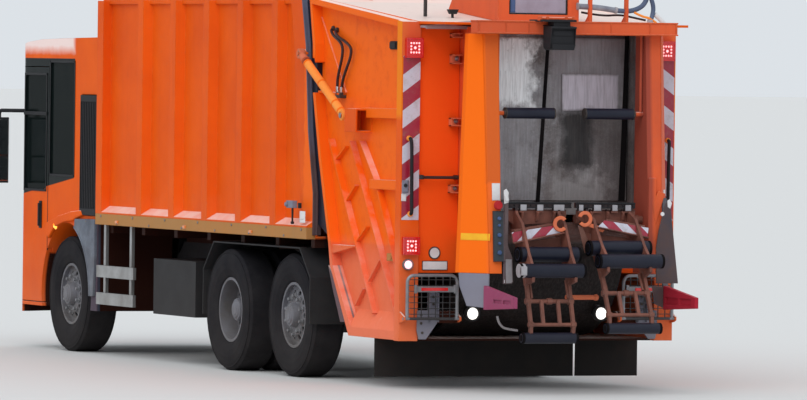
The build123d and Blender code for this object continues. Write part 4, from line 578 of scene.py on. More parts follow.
class Form:
    """A mesh that is put together from forms, which are placed by station, width and height.

    Widths are given for the left side. A side of -1 puts the mesh on the right.
    """

    def __init__(self, side=1):
        self.bm = bmesh.new()
        self.side = side

    def spot(self, x, y, z):
        """The place of a station, a width and a height."""
        return Vector((station(x), self.side * y, z))

    def corner(self, x, y, z):
        """A new corner of the mesh."""
        return self.bm.verts.new(self.spot(x, y, z))

    def block(self, x, y, z):
        """A box between two stations, two widths and two heights."""
        widths = sorted(y, reverse=self.side < 0)
        corners = [self.corner(a, b, c) for a in sorted(x) for b in widths for c in sorted(z)]
        for face in BOX_FACES:
            self.bm.faces.new([corners[i] for i in face])

    def between(self, *outlines):
        """A solid between two outlines with as many corners."""
        near, far = ([self.corner(*spot) for spot in outline] for outline in outlines)
        self.bm.faces.new(near)
        self.bm.faces.new(far[::-1])
        for i in range(len(near)):
            j = (i + 1) % len(near)
            self.bm.faces.new((near[i], far[i], far[j], near[j]))

    def slab(self, outline, along, span):
        """An outline drawn across one axis, as thick as the span along it. Its points give the other two in order."""
        place_of = {"x": lambda reach, a, b: (reach, a, b), "y": lambda reach, a, b: (a, reach, b)}[along]
        self.between(*([place_of(reach, a, b) for a, b in outline] for reach in span))

    def bar(self, start, end, radius, end_radius=None, sides=18):
        """A round bar, or a cone, between two points."""
        a, b = self.spot(*start), self.spot(*end)
        turn = (b - a).to_track_quat("Z", "Y").to_matrix().to_4x4()
        bmesh.ops.create_cone(
            self.bm, cap_ends=True, segments=sides, radius1=radius,
            radius2=radius if end_radius is None else end_radius, depth=(b - a).length,
            matrix=Matrix.Translation((a + b) / 2) @ turn,
        )

    def peg(self, x, y, z, *size):
        """A round bar along the axis for which a pair, its start and its end, is given."""
        start, end = zip(*(place if isinstance(place, tuple) else (place, place) for place in (x, y, z)))
        self.bar(start, end, *size)

    def ring(self, centre, inner, outer, span, along="x", first=0, last=360, steps=28):
        """A flat ring or hook. Its centre gives the two other axes in order; angles start at the first one's rise."""
        closed = last - first >= 360
        turn = self.side if along == "x" else 1
        angles = [math.radians(first + (last - first) * i / steps) for i in range(steps if closed else steps + 1)]
        rims = []
        for radius in (outer, inner):
            for reach in span:
                spots = [(centre[0] + turn * radius * math.cos(a), centre[1] + radius * math.sin(a)) for a in angles]
                rims.append([self.corner(reach, u, v) if along == "x" else self.corner(u, reach, v) for u, v in spots])
        for a, b in ((0, 1), (1, 3), (3, 2), (2, 0)):
            for i in range(len(angles) - (0 if closed else 1)):
                j = (i + 1) % len(angles)
                self.bm.faces.new((rims[a][i], rims[a][j], rims[b][j], rims[b][i]))
        if not closed:
            for end in (0, -1):
                self.bm.faces.new((rims[0][end], rims[1][end], rims[3][end], rims[2][end]))


@contextmanager
def piece(name, body, finish, bevel=0.003, lean=0.0, side=None):
    """A detail piece that rides on a body: its with block adds the forms.

    After the block it gets its finish and rounded edges, turned about the lifter's pivot by its lean. A side puts
    its name behind the piece's own one, and mirrors the forms on the right.
    """
    new = Form(SIDES.get(side, 1))
    if side:
        name = f"{name}_{side}"
    yield new
    bmesh.ops.recalc_face_normals(new.bm, faces=new.bm.faces)
    mesh = bpy.data.meshes.new(name)
    new.bm.to_mesh(mesh)
    new.bm.free()
    if lean:
        pivot = Matrix.Translation((station(PIVOT[0]), 0, PIVOT[1]))
        mesh.transform(pivot @ Matrix.Rotation(lean, 4, "Y") @ pivot.inverted())
    made = bpy.data.objects.new(name, mesh)
    bpy.context.scene.collection.objects.link(made)
    mesh.materials.append(FINISHES[finish])
    if bevel:
        edges = made.modifiers.new("rounded edges", "BEVEL")
        edges.width = bevel
        edges.segments = 2
        edges.limit_method = "ANGLE"
        edges.angle_limit = math.radians(40)
    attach(made, body)


def bent_bar(name, body, finish, points, radius):
    """A stiff bar or pipe that bends round through its points."""
    curve = bpy.data.curves.new(name, "CURVE")
    curve.dimensions = "3D"
    curve.bevel_depth = radius
    curve.bevel_resolution = 4
    curve.resolution_u = 8
    curve.use_fill_caps = True
    line = curve.splines.new("NURBS")
    line.points.add(len(points) - 1)
    for spot, (x, y, z) in zip(line.points, points):
        spot.co = (station(x), y, z, 1)
    line.order_u = 3
    line.use_endpoint_u = True
    made = bpy.data.objects.new(name, curve)
    bpy.context.scene.collection.objects.link(made)
    curve.materials.append(FINISHES[finish])
    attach(made, body)
    return made


def flip(points):
    """The same points on the other side of the truck."""
    return [(x, -y, z) for x, y, z in points]


# Heights of the rear posts' stripes, and the lamp clusters' widths and heights
STRIPE_Z = (1.423, 2.793)
CLUSTERS = ((1.086, 1.228, 2.784, 2.939), (1.095, 1.234, 1.138, 1.276))


def build_post_trim():
    """Stripes, lamps and small plates on the two corner posts."""
    for name, side in SIDES.items():
        with piece("post_stripes", "tailgate", f"stripes_{name}", 0.0008, side=name) as new:
            middle = sum(STRIPE_Z) / 2
            new.block((-0.003, -0.0005), (1.09, 1.245), (STRIPE_Z[0], middle - 0.0006))
            new.block((-0.003, -0.0005), (1.09, 1.245), (middle + 0.0006, STRIPE_Z[1]))
        with piece("cluster_rims", "tailgate", "cluster_red", 0.002, side=name) as new:
            for y0, y1, z0, z1 in CLUSTERS:
                for low, high in ((z0 - 0.006, z0 + 0.008), (z1 - 0.008, z1 + 0.006)):
                    new.block((-0.05, -0.001), (y0 - 0.004, y1 + 0.004), (low, high))
                for low, high in ((y0 - 0.005, y0 + 0.008), (y1 - 0.008, y1 + 0.005)):
                    new.block((-0.05, -0.001), (low, high), (z0, z1))
        with piece("cluster_dots", "tailgate", "led_lit", 0, side=name) as new:
            for y0, y1, z0, z1 in CLUSTERS:
                middle_y, middle_z = (y0 + y1) / 2, (z0 + z1) / 2
                for i in range(4):
                    for j in range(4):
                        if 0 < i < 3 and 0 < j < 3:
                            continue
                        y = middle_y + (i - 1.5) * 0.024
                        z = middle_z + (j - 1.5) * 0.026
                        new.peg((-0.0455, -0.0505), y, z, 0.0085, 0.005, 10)
                new.peg((-0.0455, -0.049), middle_y, middle_z, 0.012, 0.008, 12)
        with piece("round_lamp_glow", "tailgate", "lamp_lit_pink", 0.001, side=name) as new:
            new.peg((-0.0255, -0.03), 1.187, 1.05, 0.035, 0.03, 24)
            new.peg((-0.03, -0.036), 1.187, 1.05, 0.022, 0.014, 24)
        with piece("round_lamp_rim", "tailgate", "galvanised", 0.001, side=name) as new:
            new.ring((1.187, 1.05), 0.036, 0.046, (-0.032, -0.0005))
        with piece("reversing_lamp_glow", "tailgate", "lamp_lit_white", 0.002, side=name) as new:
            new.peg((-0.0105, -0.018), 0.59, 0.64, 0.051, 0.045, 28)
            new.peg((-0.018, -0.026), 0.59, 0.64, 0.03, 0.02, 28)
        with piece("reversing_lamp_rim", "tailgate", "black_plastic", 0.002, side=name) as new:
            new.ring((0.59, 0.64), 0.052, 0.066, (-0.024, 0.02))
        with piece("recess_lugs", "tailgate", "hook_orange", 0.002, side=name) as new:
            for low, high in ((2.95, 2.99), (2.73, 2.81), (2.21, 2.28), (1.65, 1.72)):
                new.block((-0.08, 0.028), (0.742, 0.815), (low, low + 0.01))
                new.block((-0.08, 0.028), (0.742, 0.815), (high - 0.01, high))
                new.block((-0.03, 0.028), (0.742, 0.815), (low, high))
        with piece("recess_bolts", "tailgate", "galvanised", 0.001, side=name) as new:
            for middle in (2.775, 2.25, 1.69):
                new.peg((-0.048, -0.03), 0.776, middle, 0.02, 0.02, 6)
                new.peg((-0.062, -0.046), 0.776, middle, 0.011, 0.009, 12)
        with piece("top_flap", "tailgate", "pad_grey", side=name) as new:
            new.slab([(1.095, 3.03), (0.66, 3.072), (0.66, 3.094), (1.095, 3.052)], "x", (-0.12, 0.02))
            new.block((-0.122, -0.112), (1.095, 0.67), (3.022, 3.052))
        with piece("grab_bar", "tailgate", "steel_dark", 0.001, side=name) as new:
            new.peg(-0.035, (1.075, 0.755), 1.78, 0.013)
            for y in (1.075, 0.755):
                new.block((-0.045, 0.03), (y - 0.012, y + 0.012), (1.764, 1.8))
        handle = [(-0.002, 1.187, 2.105), (-0.03, 1.186, 2.108), (-0.052, 1.184, 2.09), (-0.054, 1.18, 2.04),
                  (-0.054, 1.176, 1.56), (-0.052, 1.172, 1.5), (-0.03, 1.171, 1.47), (-0.002, 1.17, 1.472)]
        bent_bar(f"post_handle_{name}", "tailgate", "black_plastic", handle if side > 0 else flip(handle), 0.015)
        with piece("post_handle_ends", "tailgate", "cylinder_paint", 0.002, side=name) as new:
            for z in (2.105, 1.472):
                y = 1.187 if z > 2 else 1.17
                new.peg((-0.001, -0.03), y, z, 0.024, 0.019)
    with piece("post_button_box", "tailgate", "grey_paint") as new:
        new.block((-0.02, -0.002), (1.245, 1.19), (1.65, 1.755))
        new.block((-0.024, -0.02), (1.24, 1.195), (1.656, 1.749))
    with piece("post_button", "tailgate", "black_plastic", 0.002) as new:
        new.peg((-0.02, -0.034), 1.22, 1.712, 0.017, 0.014)
    with piece("blank_signs", "tailgate", "blank_label", 0.001) as new:
        new.block((-0.006, -0.003), (1.25, 1.205), (1.58, 1.64))
        new.block((0.022, 0.029), (1.037, 0.814), (1.007, 1.077))
        new.peg((0.029, 0.022), 0.93, 1.148, 0.05, 0.05, 32)
    with piece("blank_sign_rims", "tailgate", "steel_dark", 0) as new:
        new.ring((0.93, 1.148), 0.044, 0.053, (0.02, 0.0285))
        for z in (1.003, 1.077):
            new.block((0.0205, 0.0285), (1.04, 0.811), (z, z + 0.004))
        for y in (0.811, 1.036):
            new.block((0.0205, 0.0285), (y, y + 0.004), (1.003, 1.081))


# Chamfer of the left column: its foot and the ways along it and up it
CHAMFER_FOOT = Vector((-0.8, 0.785, 1.0))
CHAMFER_ALONG = Vector((0.26, 0.165, 0)).normalized()
CHAMFER_UP = Vector((0, -0.062, 1.99)).normalized()
CHAMFER_OUT = Vector((-0.3284, 0.5174, 0.0161)).normalized()


def on_chamfer(along, up, out):
    """A place on the left column's chamfer, with its station."""
    spot = CHAMFER_FOOT + CHAMFER_ALONG * along + CHAMFER_UP * up + CHAMFER_OUT * out
    return tuple(spot)


def on_seam(up):
    """A place on the back corner between the left column's chamfer and its rear face."""
    spot = CHAMFER_FOOT + Vector((0.14, 0.027, 1.99)) * (up / 1.99)
    return tuple(spot)


def add_chamfer_plate(new, outline, out):
    """A flat piece on a column's chamfer, between two distances out from it."""
    new.between(*([on_chamfer(along, up, reach) for along, up in outline] for reach in out))


def build_portal_trim():
    """Bands, seams, buttons, labels and plates on the columns, and the camera's box on the beam."""
    for name, side in SIDES.items():
        band = [(0.006, 0.272), (0.3, 0.272), (0.3, 0.33), (0.006, 0.33)]
        with piece("column_band", "tailgate", "yellow_band", 0, side=name) as new:
            add_chamfer_plate(new, band, (0.0005, 0.002) if side > 0 else (0.0125, 0.014))
        with piece("column_seam", "tailgate", "portal_paint", 0, side=name) as new:
            new.bar(on_seam(0.004), on_seam(1.984), 0.004, 0.004, 8)
    with piece("control_buttons", "tailgate", "button_blue", 0.002) as new:
        for z, radius in ((1.457, 0.017), (1.4, 0.013), (1.319, 0.019), (1.25, 0.014), (1.174, 0.021)):
            face = -0.825 + (z - 1.1) * 0.0694
            new.peg((face, face - 0.016), 0.702, z, radius, radius * 0.8)
    with piece("stop_button", "tailgate", "button_red") as new:
        new.peg((-0.768, -0.8), 0.712, 1.566, 0.02)
        new.peg((-0.798, -0.824), 0.712, 1.566, 0.04, 0.032, 24)
    with piece("control_labels", "tailgate", "blank_label", 0.0005) as new:
        new.slab([(-0.759, 1.605), (-0.7615, 1.605), (-0.7515, 1.748), (-0.749, 1.748)], "y", (0.676, 0.75))
        new.block((-0.8185, -0.8162), (0.631, 0.656), (1.11, 1.185))
        new.block((-0.8185, -0.8162), (0.631, 0.656), (0.922, 0.95))
    with piece("narrow_plate_face", "tailgate", "plate_brown", 0.001) as new:
        new.slab([(0.661, 1.6), (0.627, 1.6), (0.627, 1.23), (0.585, 1.133), (0.576, 0.93), (0.59, 0.915),
                  (0.65, 0.912)], "x", (-0.822, -0.8185))
    with piece("narrow_plate_end", "tailgate", "pad_grey", 0.0008) as new:
        new.slab([(0.648, 1.12), (0.592, 1.12), (0.583, 0.935), (0.594, 0.922), (0.642, 0.92)], "x",
                 (-0.8245, -0.8222))
    with piece("bent_light_guard", "tailgate", "blank_label", 0.002) as new:
        new.slab([(0.674, 1.69), (0.65, 1.705), (0.628, 1.672), (0.634, 1.63), (0.627, 1.59), (0.668, 1.578)], "x",
                 (-0.828, -0.822))
        new.slab([(0.672, 1.65), (0.64, 1.66), (0.63, 1.605), (0.66, 1.6)], "x", (-0.84, -0.826))
    with piece("right_side_plate", "tailgate", "dark_plate", 0.002) as new:
        new.slab([(-0.748, 1.362), (-0.808, 1.6), (-0.851, 1.589), (-0.87, 1.438), (-0.933, 0.92), (-0.731, 0.92),
                  (-0.727, 1.222)], "x", (-0.812, -0.803))
        new.slab([(-0.69, 0.9), (-0.797, 0.893), (-0.797, 0.715), (-0.716, 0.749)], "x", (-0.815, -0.808))
    with piece("right_side_label", "tailgate", "blank_label", 0.0005) as new:
        new.slab([(-0.826, 1.56), (-0.85, 1.545), (-0.866, 1.59), (-0.846, 1.628), (-0.822, 1.612)], "x",
                 (-0.8145, -0.8125))
        new.peg((-0.8122, -0.8145), -0.78, 1.5, 0.018, 0.018, 20)
    with piece("plate_gaps", "tailgate", "gap_black", 0) as new:
        new.slab([(0.036, 2.96), (0.066, 2.96), (0.15, 1.56), (0.112, 1.56)], "x", (-0.2872, -0.2855))
        new.slab([(-0.655, 3.04), (-0.69, 3.04), (-0.68, 2.118), (-0.67, 1.6), (-0.61, 1.6), (-0.63, 2.118)], "x",
                 (-0.2872, -0.2855))
    with piece("cross_tube", "tailgate", "hook_orange", 0.002) as new:
        new.peg(-0.6, (0.0, -0.295), 0.796, 0.02)
        for y in (-0.02, -0.275):
            new.peg(-0.6, (y - 0.012, y + 0.012), 0.796, 0.026)
    with piece("column_label", "tailgate", "blank_label", 0, side="right") as new:
        add_chamfer_plate(new, [(0.19, 0.66), (0.27, 0.66), (0.27, 0.7), (0.19, 0.7)], (0.0005, 0.002))
    with piece("camera_face", "tailgate", "black_plastic") as new:
        new.slab([(0.118, 3.02), (0.294, 3.02), (0.294, 2.975), (0.118, 2.975)], "x", (-0.936, -0.929))
        new.slab([(0.1, 2.905), (0.312, 2.905), (0.3, 2.858), (0.112, 2.858)], "x", (-0.96, -0.78))
    with piece("camera_hood", "tailgate", "black_plastic", 0.002) as new:
        new.slab([(-0.965, 3.036), (-0.78, 3.056), (-0.78, 3.064), (-0.965, 3.05)], "y", (0.092, 0.32))
        for y in (0.094, 0.312):
            new.slab([(-0.96, 3.045), (-0.785, 3.05), (-0.785, 2.88), (-0.935, 2.88)], "y", (y, y + 0.006))
    with piece("camera_clamps", "tailgate", "portal_paint", 0.002) as new:
        new.peg(-0.86, (0.082, 0.388), 3.118, 0.014)
        for y in (0.086, 0.15, 0.32, 0.384):
            new.block((-0.885, -0.835), (y - 0.01, y + 0.01), (3.1, 3.136))
    with piece("beam_lips", "tailgate", "portal_paint", 0.002) as new:
        new.block((-0.786, -0.64), (-0.915, 0.915), (3.086, 3.098))
        new.block((-0.788, -0.778), (-0.915, 0.915), (2.988, 3.0))
        for y in (-0.895, -0.655, -0.3, 0.45, 0.655, 0.895):
            new.block((-0.786, -0.779), (y - 0.004, y + 0.004), (2.998, 3.088))
    with piece("stop_collars", "tailgate", "steel_dark", 0.002) as new:
        for side in (1, -1):
            for y in (0.142, 0.582):
                new.peg(-0.62, (side * (y - 0.006), side * (y + 0.006)), 2.33, 0.0475, 0.0475, 28)
            new.peg(-0.62, (side * 0.586, side * 0.6), 2.33, 0.036, 0.03, 24)
    with piece("right_column_pocket", "tailgate", "portal_paint") as new:
        new.block((-0.77, -0.7), (-0.672, -0.74), (1.4, 1.8))
        new.slab([(-0.757, 1.692), (-0.82, 1.67), (-0.736, 1.406), (-0.709, 1.566)], "x", (-0.775, -0.765))


# Hooks of the comb: inner and outer width
HOOKS = {
    "left": ((0.074, 0.181), (0.265, 0.332), (0.417, 0.484)),
    "right": ((0.048, 0.099), (0.185, 0.261), (0.353, 0.411), (0.472, 0.535)),
}
# The comb's ends
COMB_BAR = {"left": (0.013, 0.601), "right": (0.03, 0.57)}
# Rollers: station, height, inner end, outer end, radius
ROLLERS = ((-0.93, 1.162, 0.03, 0.59, 0.064), (-1.075, 1.032, 0.045, 0.635, 0.059),
           (-1.045, 0.474, 0.09, 0.595, 0.046))
# The right half leans back by an angle about the pivot, which has a station and a height
LEAN = {"left": 0.0, "right": math.radians(10)}
PIVOT = (-0.64, 1.45)
# Hook rings: width and height of the centre, first and last angle
RINGS = {"left": (0.186, 1.416, -140, 140), "right": (-0.035, 1.458, 20, 320)}


def build_lifter_trim():
    """What hangs on the two lifter halves."""
    for name, side in SIDES.items():
        body = f"lifter_{name}"
        with piece("flap_stripes", body, f"flap_stripes_{name}", 0.0005, lean=LEAN[name], side=name) as new:
            new.slab([(0.617, 1.343), (0.219, 1.405), (0.154, 1.348), (0.603, 1.263)], "x", (-0.878, -0.8755))
        with piece("flap_lips", body, "lifter_brown", 0.002, lean=LEAN[name], side=name) as new:
            new.slab([(0.604, 1.263), (0.151, 1.349), (0.151, 1.338), (0.604, 1.252)], "x", (-0.905, -0.862))
            new.slab([(0.59, 1.365), (0.24, 1.418), (0.24, 1.404), (0.59, 1.348)], "x", (-0.872, -0.78))
        ring = RINGS[name]
        with piece(f"hook_ring_{name}", body, "hook_orange") as new:
            new.ring(ring[:2], 0.036, 0.066, (-0.902, -0.884), first=ring[2], last=ring[3])
            if side < 0:
                new.slab([(-0.06, 1.4), (-0.1, 1.42), (-0.23, 1.38), (-0.2, 1.345)], "x", (-0.89, -0.876))
        with piece("comb_pads", body, "pad_grey", 0.002, side=name) as new:
            for inner, outer in HOOKS[name]:
                new.block((-0.732, -0.724), (inner + 0.006, outer - 0.006), (1.522, 1.572))
        with piece("comb_edges", body, "black_plastic", 0.001, side=name) as new:
            low, high = COMB_BAR[name]
            new.block((-0.727, -0.719), (low, high), (1.578, 1.592))
            new.block((-0.727, -0.719), (low, high), (1.543, 1.553))
            for i in range(12):
                y = low + 0.02 + (high - low - 0.04) * i / 11
                new.peg((-0.72, -0.7275), y, 1.566, 0.007, 0.006, 8)
        with piece("comb_back", body, "lifter_brown", 0.002, side=name) as new:
            new.slab([(0.045, 1.53), (0.585, 1.53), (0.585, 1.45), (0.52, 1.4), (0.11, 1.42), (0.045, 1.47)], "x",
                     (-0.69, -0.678))
            for y in (0.16, 0.31, 0.45):
                new.slab([(-0.74, 1.505), (-0.69, 1.535), (-0.69, 1.43), (-0.72, 1.44)], "y", (y, y + 0.018))
        with piece("roller_ends", body, "gap_black", 0.001, lean=LEAN[name], side=name) as new:
            for x, z, inner, outer, radius in ROLLERS:
                for y, way in ((inner, -1), (outer, 1)):
                    new.peg(x, (y - 0.01 * way, y + 0.003 * way), z, radius * 0.62)
                    new.ring((x, z), radius * 0.8, radius + 0.0012, (y - 0.022 * way, y), along="y")
        if side > 0:
            with piece("roller_cap", body, "pad_grey", 0.004) as new:
                new.peg(-1.075, (0.59, 0.64), 1.032, 0.0605, 0.058, 28)
                new.block((-1.15, -1.11), (0.592, 0.64), (0.995, 1.07))
        with piece("ladder_fittings", body, "lifter_brown", 0.001, lean=LEAN[name], side=name) as new:
            for y in (0.118, 0.5):
                new.peg(-0.99, (y - 0.012, y + 0.038), 0.777, 0.03, 0.03, 6)
                new.peg(-1.055, (y - 0.01, y + 0.036), 0.585, 0.026, 0.026, 6)
            new.peg(-0.992, (0.3, 0.345), 0.777, 0.027, 0.027, 10)
            for y in (0.15, 0.48):
                new.bar((-0.93, y, 0.95), (-0.99, y, 0.8), 0.012)
        with piece("pivot_collars", body, "lifter_brown", 0.002, side=name) as new:
            for y in (0.075, 0.33, 0.61):
                new.peg(-0.64, (y - 0.02, y + 0.02), 1.45, 0.04, 0.04, 20)
    with piece("arm_plate_right", "lifter_right", "arm_brown", 0.002) as new:
        new.slab([(0.022, 1.405), (-0.045, 1.173), (-0.117, 1.196), (-0.02, 1.39)], "x", (-0.882, -0.87))
        new.slab([(-0.045, 1.173), (-0.117, 1.196), (-0.54, 1.24), (-0.54, 1.215)], "x", (-0.88, -0.872))


# Axles: X, and the widths of the tyres' middles
TRACKS = {"front": (3.99, (1.03,)), "drive": (-0.21, (0.745, 1.085)), "tag": (-1.56, (1.03,))}
TYRE_RADIUS = 0.535
# The tread's rows across a tyre
TREAD_ROWS = ((-0.118, -0.078), (-0.064, -0.024), (-0.012, 0.012), (0.024, 0.064), (0.078, 0.118))
TREAD_BLOCKS = 52
NUT_CIRCLE = 0.1675
# Where the nuts and the cap sit out from the outer tyre's middle
DISC_REACH = {"front": (0.1, 0.148), "drive": (-0.064, 0.058), "tag": (0.1, 0.148)}


def add_tread(new, x, track):
    """The tread blocks of one tyre, standing just inside its outer radius."""
    for row, (low, high) in enumerate(TREAD_ROWS):
        for block in range(TREAD_BLOCKS):
            first = 2 * math.pi * (block + (row % 2) * 0.5) / TREAD_BLOCKS
            last = first + 2 * math.pi / TREAD_BLOCKS * 0.72
            corners = []
            for radius in (TYRE_RADIUS - 0.008, TYRE_RADIUS - 0.0005):
                for y in (low, high):
                    for angle in (first, last):
                        high_up = TYRE_RADIUS + radius * math.sin(angle)
                        spot = (x + radius * math.cos(angle), new.side * (track + y), high_up)
                        corners.append(new.bm.verts.new(spot))
            for face in BOX_FACES:
                new.bm.faces.new([corners[i] for i in face])


def build_wheels():
    """Tread blocks, side wall rings, nuts and hub caps, on each wheel's own body."""
    for axle, (x, tracks) in TRACKS.items():
        for name in SIDES:
            body = f"wheel_{axle}_{name}"
            ahead = x - REAR_FACE
            outer = tracks[-1]
            disc, cap = DISC_REACH[axle]
            with piece(f"tread_{axle}", body, "tyre_rubber", 0, side=name) as new:
                for track in tracks:
                    add_tread(new, x, track)
                    for reach in (-0.1385, 0.1385):
                        new.ring((ahead, TYRE_RADIUS), 0.5, 0.512, (track + reach, track + reach * 1.06), along="y",
                                 steps=48)
            with piece(f"wheel_nuts_{axle}", body, "galvanised", 0.001, side=name) as new:
                for i in range(10):
                    angle = 2 * math.pi * (i + 0.5) / 10
                    spot_x = ahead + NUT_CIRCLE * math.cos(angle)
                    spot_z = TYRE_RADIUS + NUT_CIRCLE * math.sin(angle)
                    foot, tip = outer + disc, outer + disc + 0.036
                    new.peg(spot_x, (foot, foot + 0.008), spot_z, 0.024, 0.024, 16)
                    new.peg(spot_x, (foot, tip), spot_z, 0.017, 0.015, 6)
            with piece(f"hub_cap_{axle}", body, "wheel_steel", side=name) as new:
                for low, high, radius, tip in ((0, 0.012, 0.098, 0.094), (0.01, 0.026, 0.084, 0.07),
                                               (0.024, 0.032, 0.056, 0.05)):
                    new.peg(ahead, (outer + cap + low, outer + cap + high), TYRE_RADIUS, radius, tip, 32)


def add_window_trim(new, x, z, wide=0.02):
    """Four strips round a side window, inside its stations and heights."""
    for edge in ((x[0], x[0] + wide), (x[1] - wide, x[1])):
        new.block(edge, (1.2005, 1.206), z)
    for edge in ((z[0], z[0] + wide), (z[1] - wide, z[1])):
        new.block(x, (1.2005, 1.206), edge)


def build_cab_trim():
    """Arch lips, mudguards, indicators, handles, window trim, mirrors and beacons of the cab."""
    for name in SIDES:
        with piece("arch_flare", "chassis", "cab_orange", 0.012, side=name) as new:
            outline = [(8.66, 1.12), (8.628, 1.192), (8.351, 1.254), (8.006, 1.303), (7.732, 1.322), (7.696, 1.275),
                       (7.86, 1.247), (7.935, 1.221), (8.165, 1.203), (8.42, 1.153), (8.6, 1.036)]
            new.slab(outline, "y", (1.199, 1.236))
        with piece("mudguard_back", "chassis", "flap_grey", side=name) as new:
            inner = [(8.165 + 0.668 * math.cos(math.radians(a)),
                      TYRE_RADIUS + 0.668 * math.sin(math.radians(a))) for a in range(112, 181, 4)]
            new.slab([(7.9, 1.24), *inner, (7.4, 0.535), (7.362, 0.879), (7.375, 1.247)], "y", (1.199, 1.226))
            new.ring((8.165, TYRE_RADIUS), 0.668, 0.684, (1.22, 1.232), along="y", first=112, last=180)
        with piece("side_indicator", "chassis", "indicator_lit", side=name) as new:
            new.peg(8.43, (1.2125, 1.22), 1.165, 0.038, 0.036, 24)
            new.peg(8.43, (1.22, 1.236), 1.165, 0.03, 0.02, 24)
        with piece("door_handle", f"door_{name}", "black_plastic", 0.004, side=name) as new:
            new.slab([(8.845, 1.13), (8.905, 1.13), (8.905, 1.385), (8.845, 1.385)], "y", (1.201, 1.213))
            new.block((8.862, 8.888), (1.213, 1.232), (1.15, 1.365))
        with piece("door_window_trim", f"door_{name}", "black_plastic", 0.002, side=name) as new:
            add_window_trim(new, (8.735, 9.35), (1.475, 2.585))
            new.block((8.735, 9.35), (1.2005, 1.212), (2.19, 2.222))
        with piece("side_window_trim", "chassis", "black_plastic", 0.002, side=name) as new:
            add_window_trim(new, (7.985, 8.665), (1.625, 2.705))
        with piece("mirror_glass", "chassis", "mirror_silver", 0.004, side=name) as new:
            for heights in ((1.8, 2.14), (1.56, 1.78)):
                new.block((9.512, 9.5195), (1.305, 1.455), heights)
    with piece("roof_beacons", "chassis", "amber_lens", 0.004) as new:
        for y in (0.62, -0.62):
            new.peg(7.65, y, (2.917, 2.932), 0.085, 0.08, 32)
            new.peg(7.65, y, (2.932, 3.05), 0.066, 0.056, 32)


# Lift hoses: station and height along each, and their plated ends
HOSE_OUT = 1.146
HOSE_ROUTES = {
    "a": [(1.863, 3.016), (1.802, 2.959), (1.655, 2.915), (1.578, 2.863), (1.587, 2.779), (1.647, 2.669),
          (1.701, 2.558), (1.681, 2.477)],
    "b": [(1.775, 3.003), (1.685, 2.944), (1.51, 2.907), (1.381, 2.851), (1.401, 2.776), (1.501, 2.666),
          (1.585, 2.559), (1.599, 2.471)],
}
HOSE_ENDS = {
    "a": [(1.69, 2.52), (1.684, 2.495), (1.681, 2.47)],
    "b": [(1.592, 2.52), (1.597, 2.495), (1.599, 2.466)],
}
# The way up the tailgate's cylinders
CYLINDER_WAY = Vector((0.99, 0, 0.52)).normalized()
# Back edge of the body's sloping posts, which the seal wraps
POST_EDGE = ((2.392, 3.31), (2.278, 2.866), (2.202, 2.13), (2.075, 1.6), (2.075, 1.24))


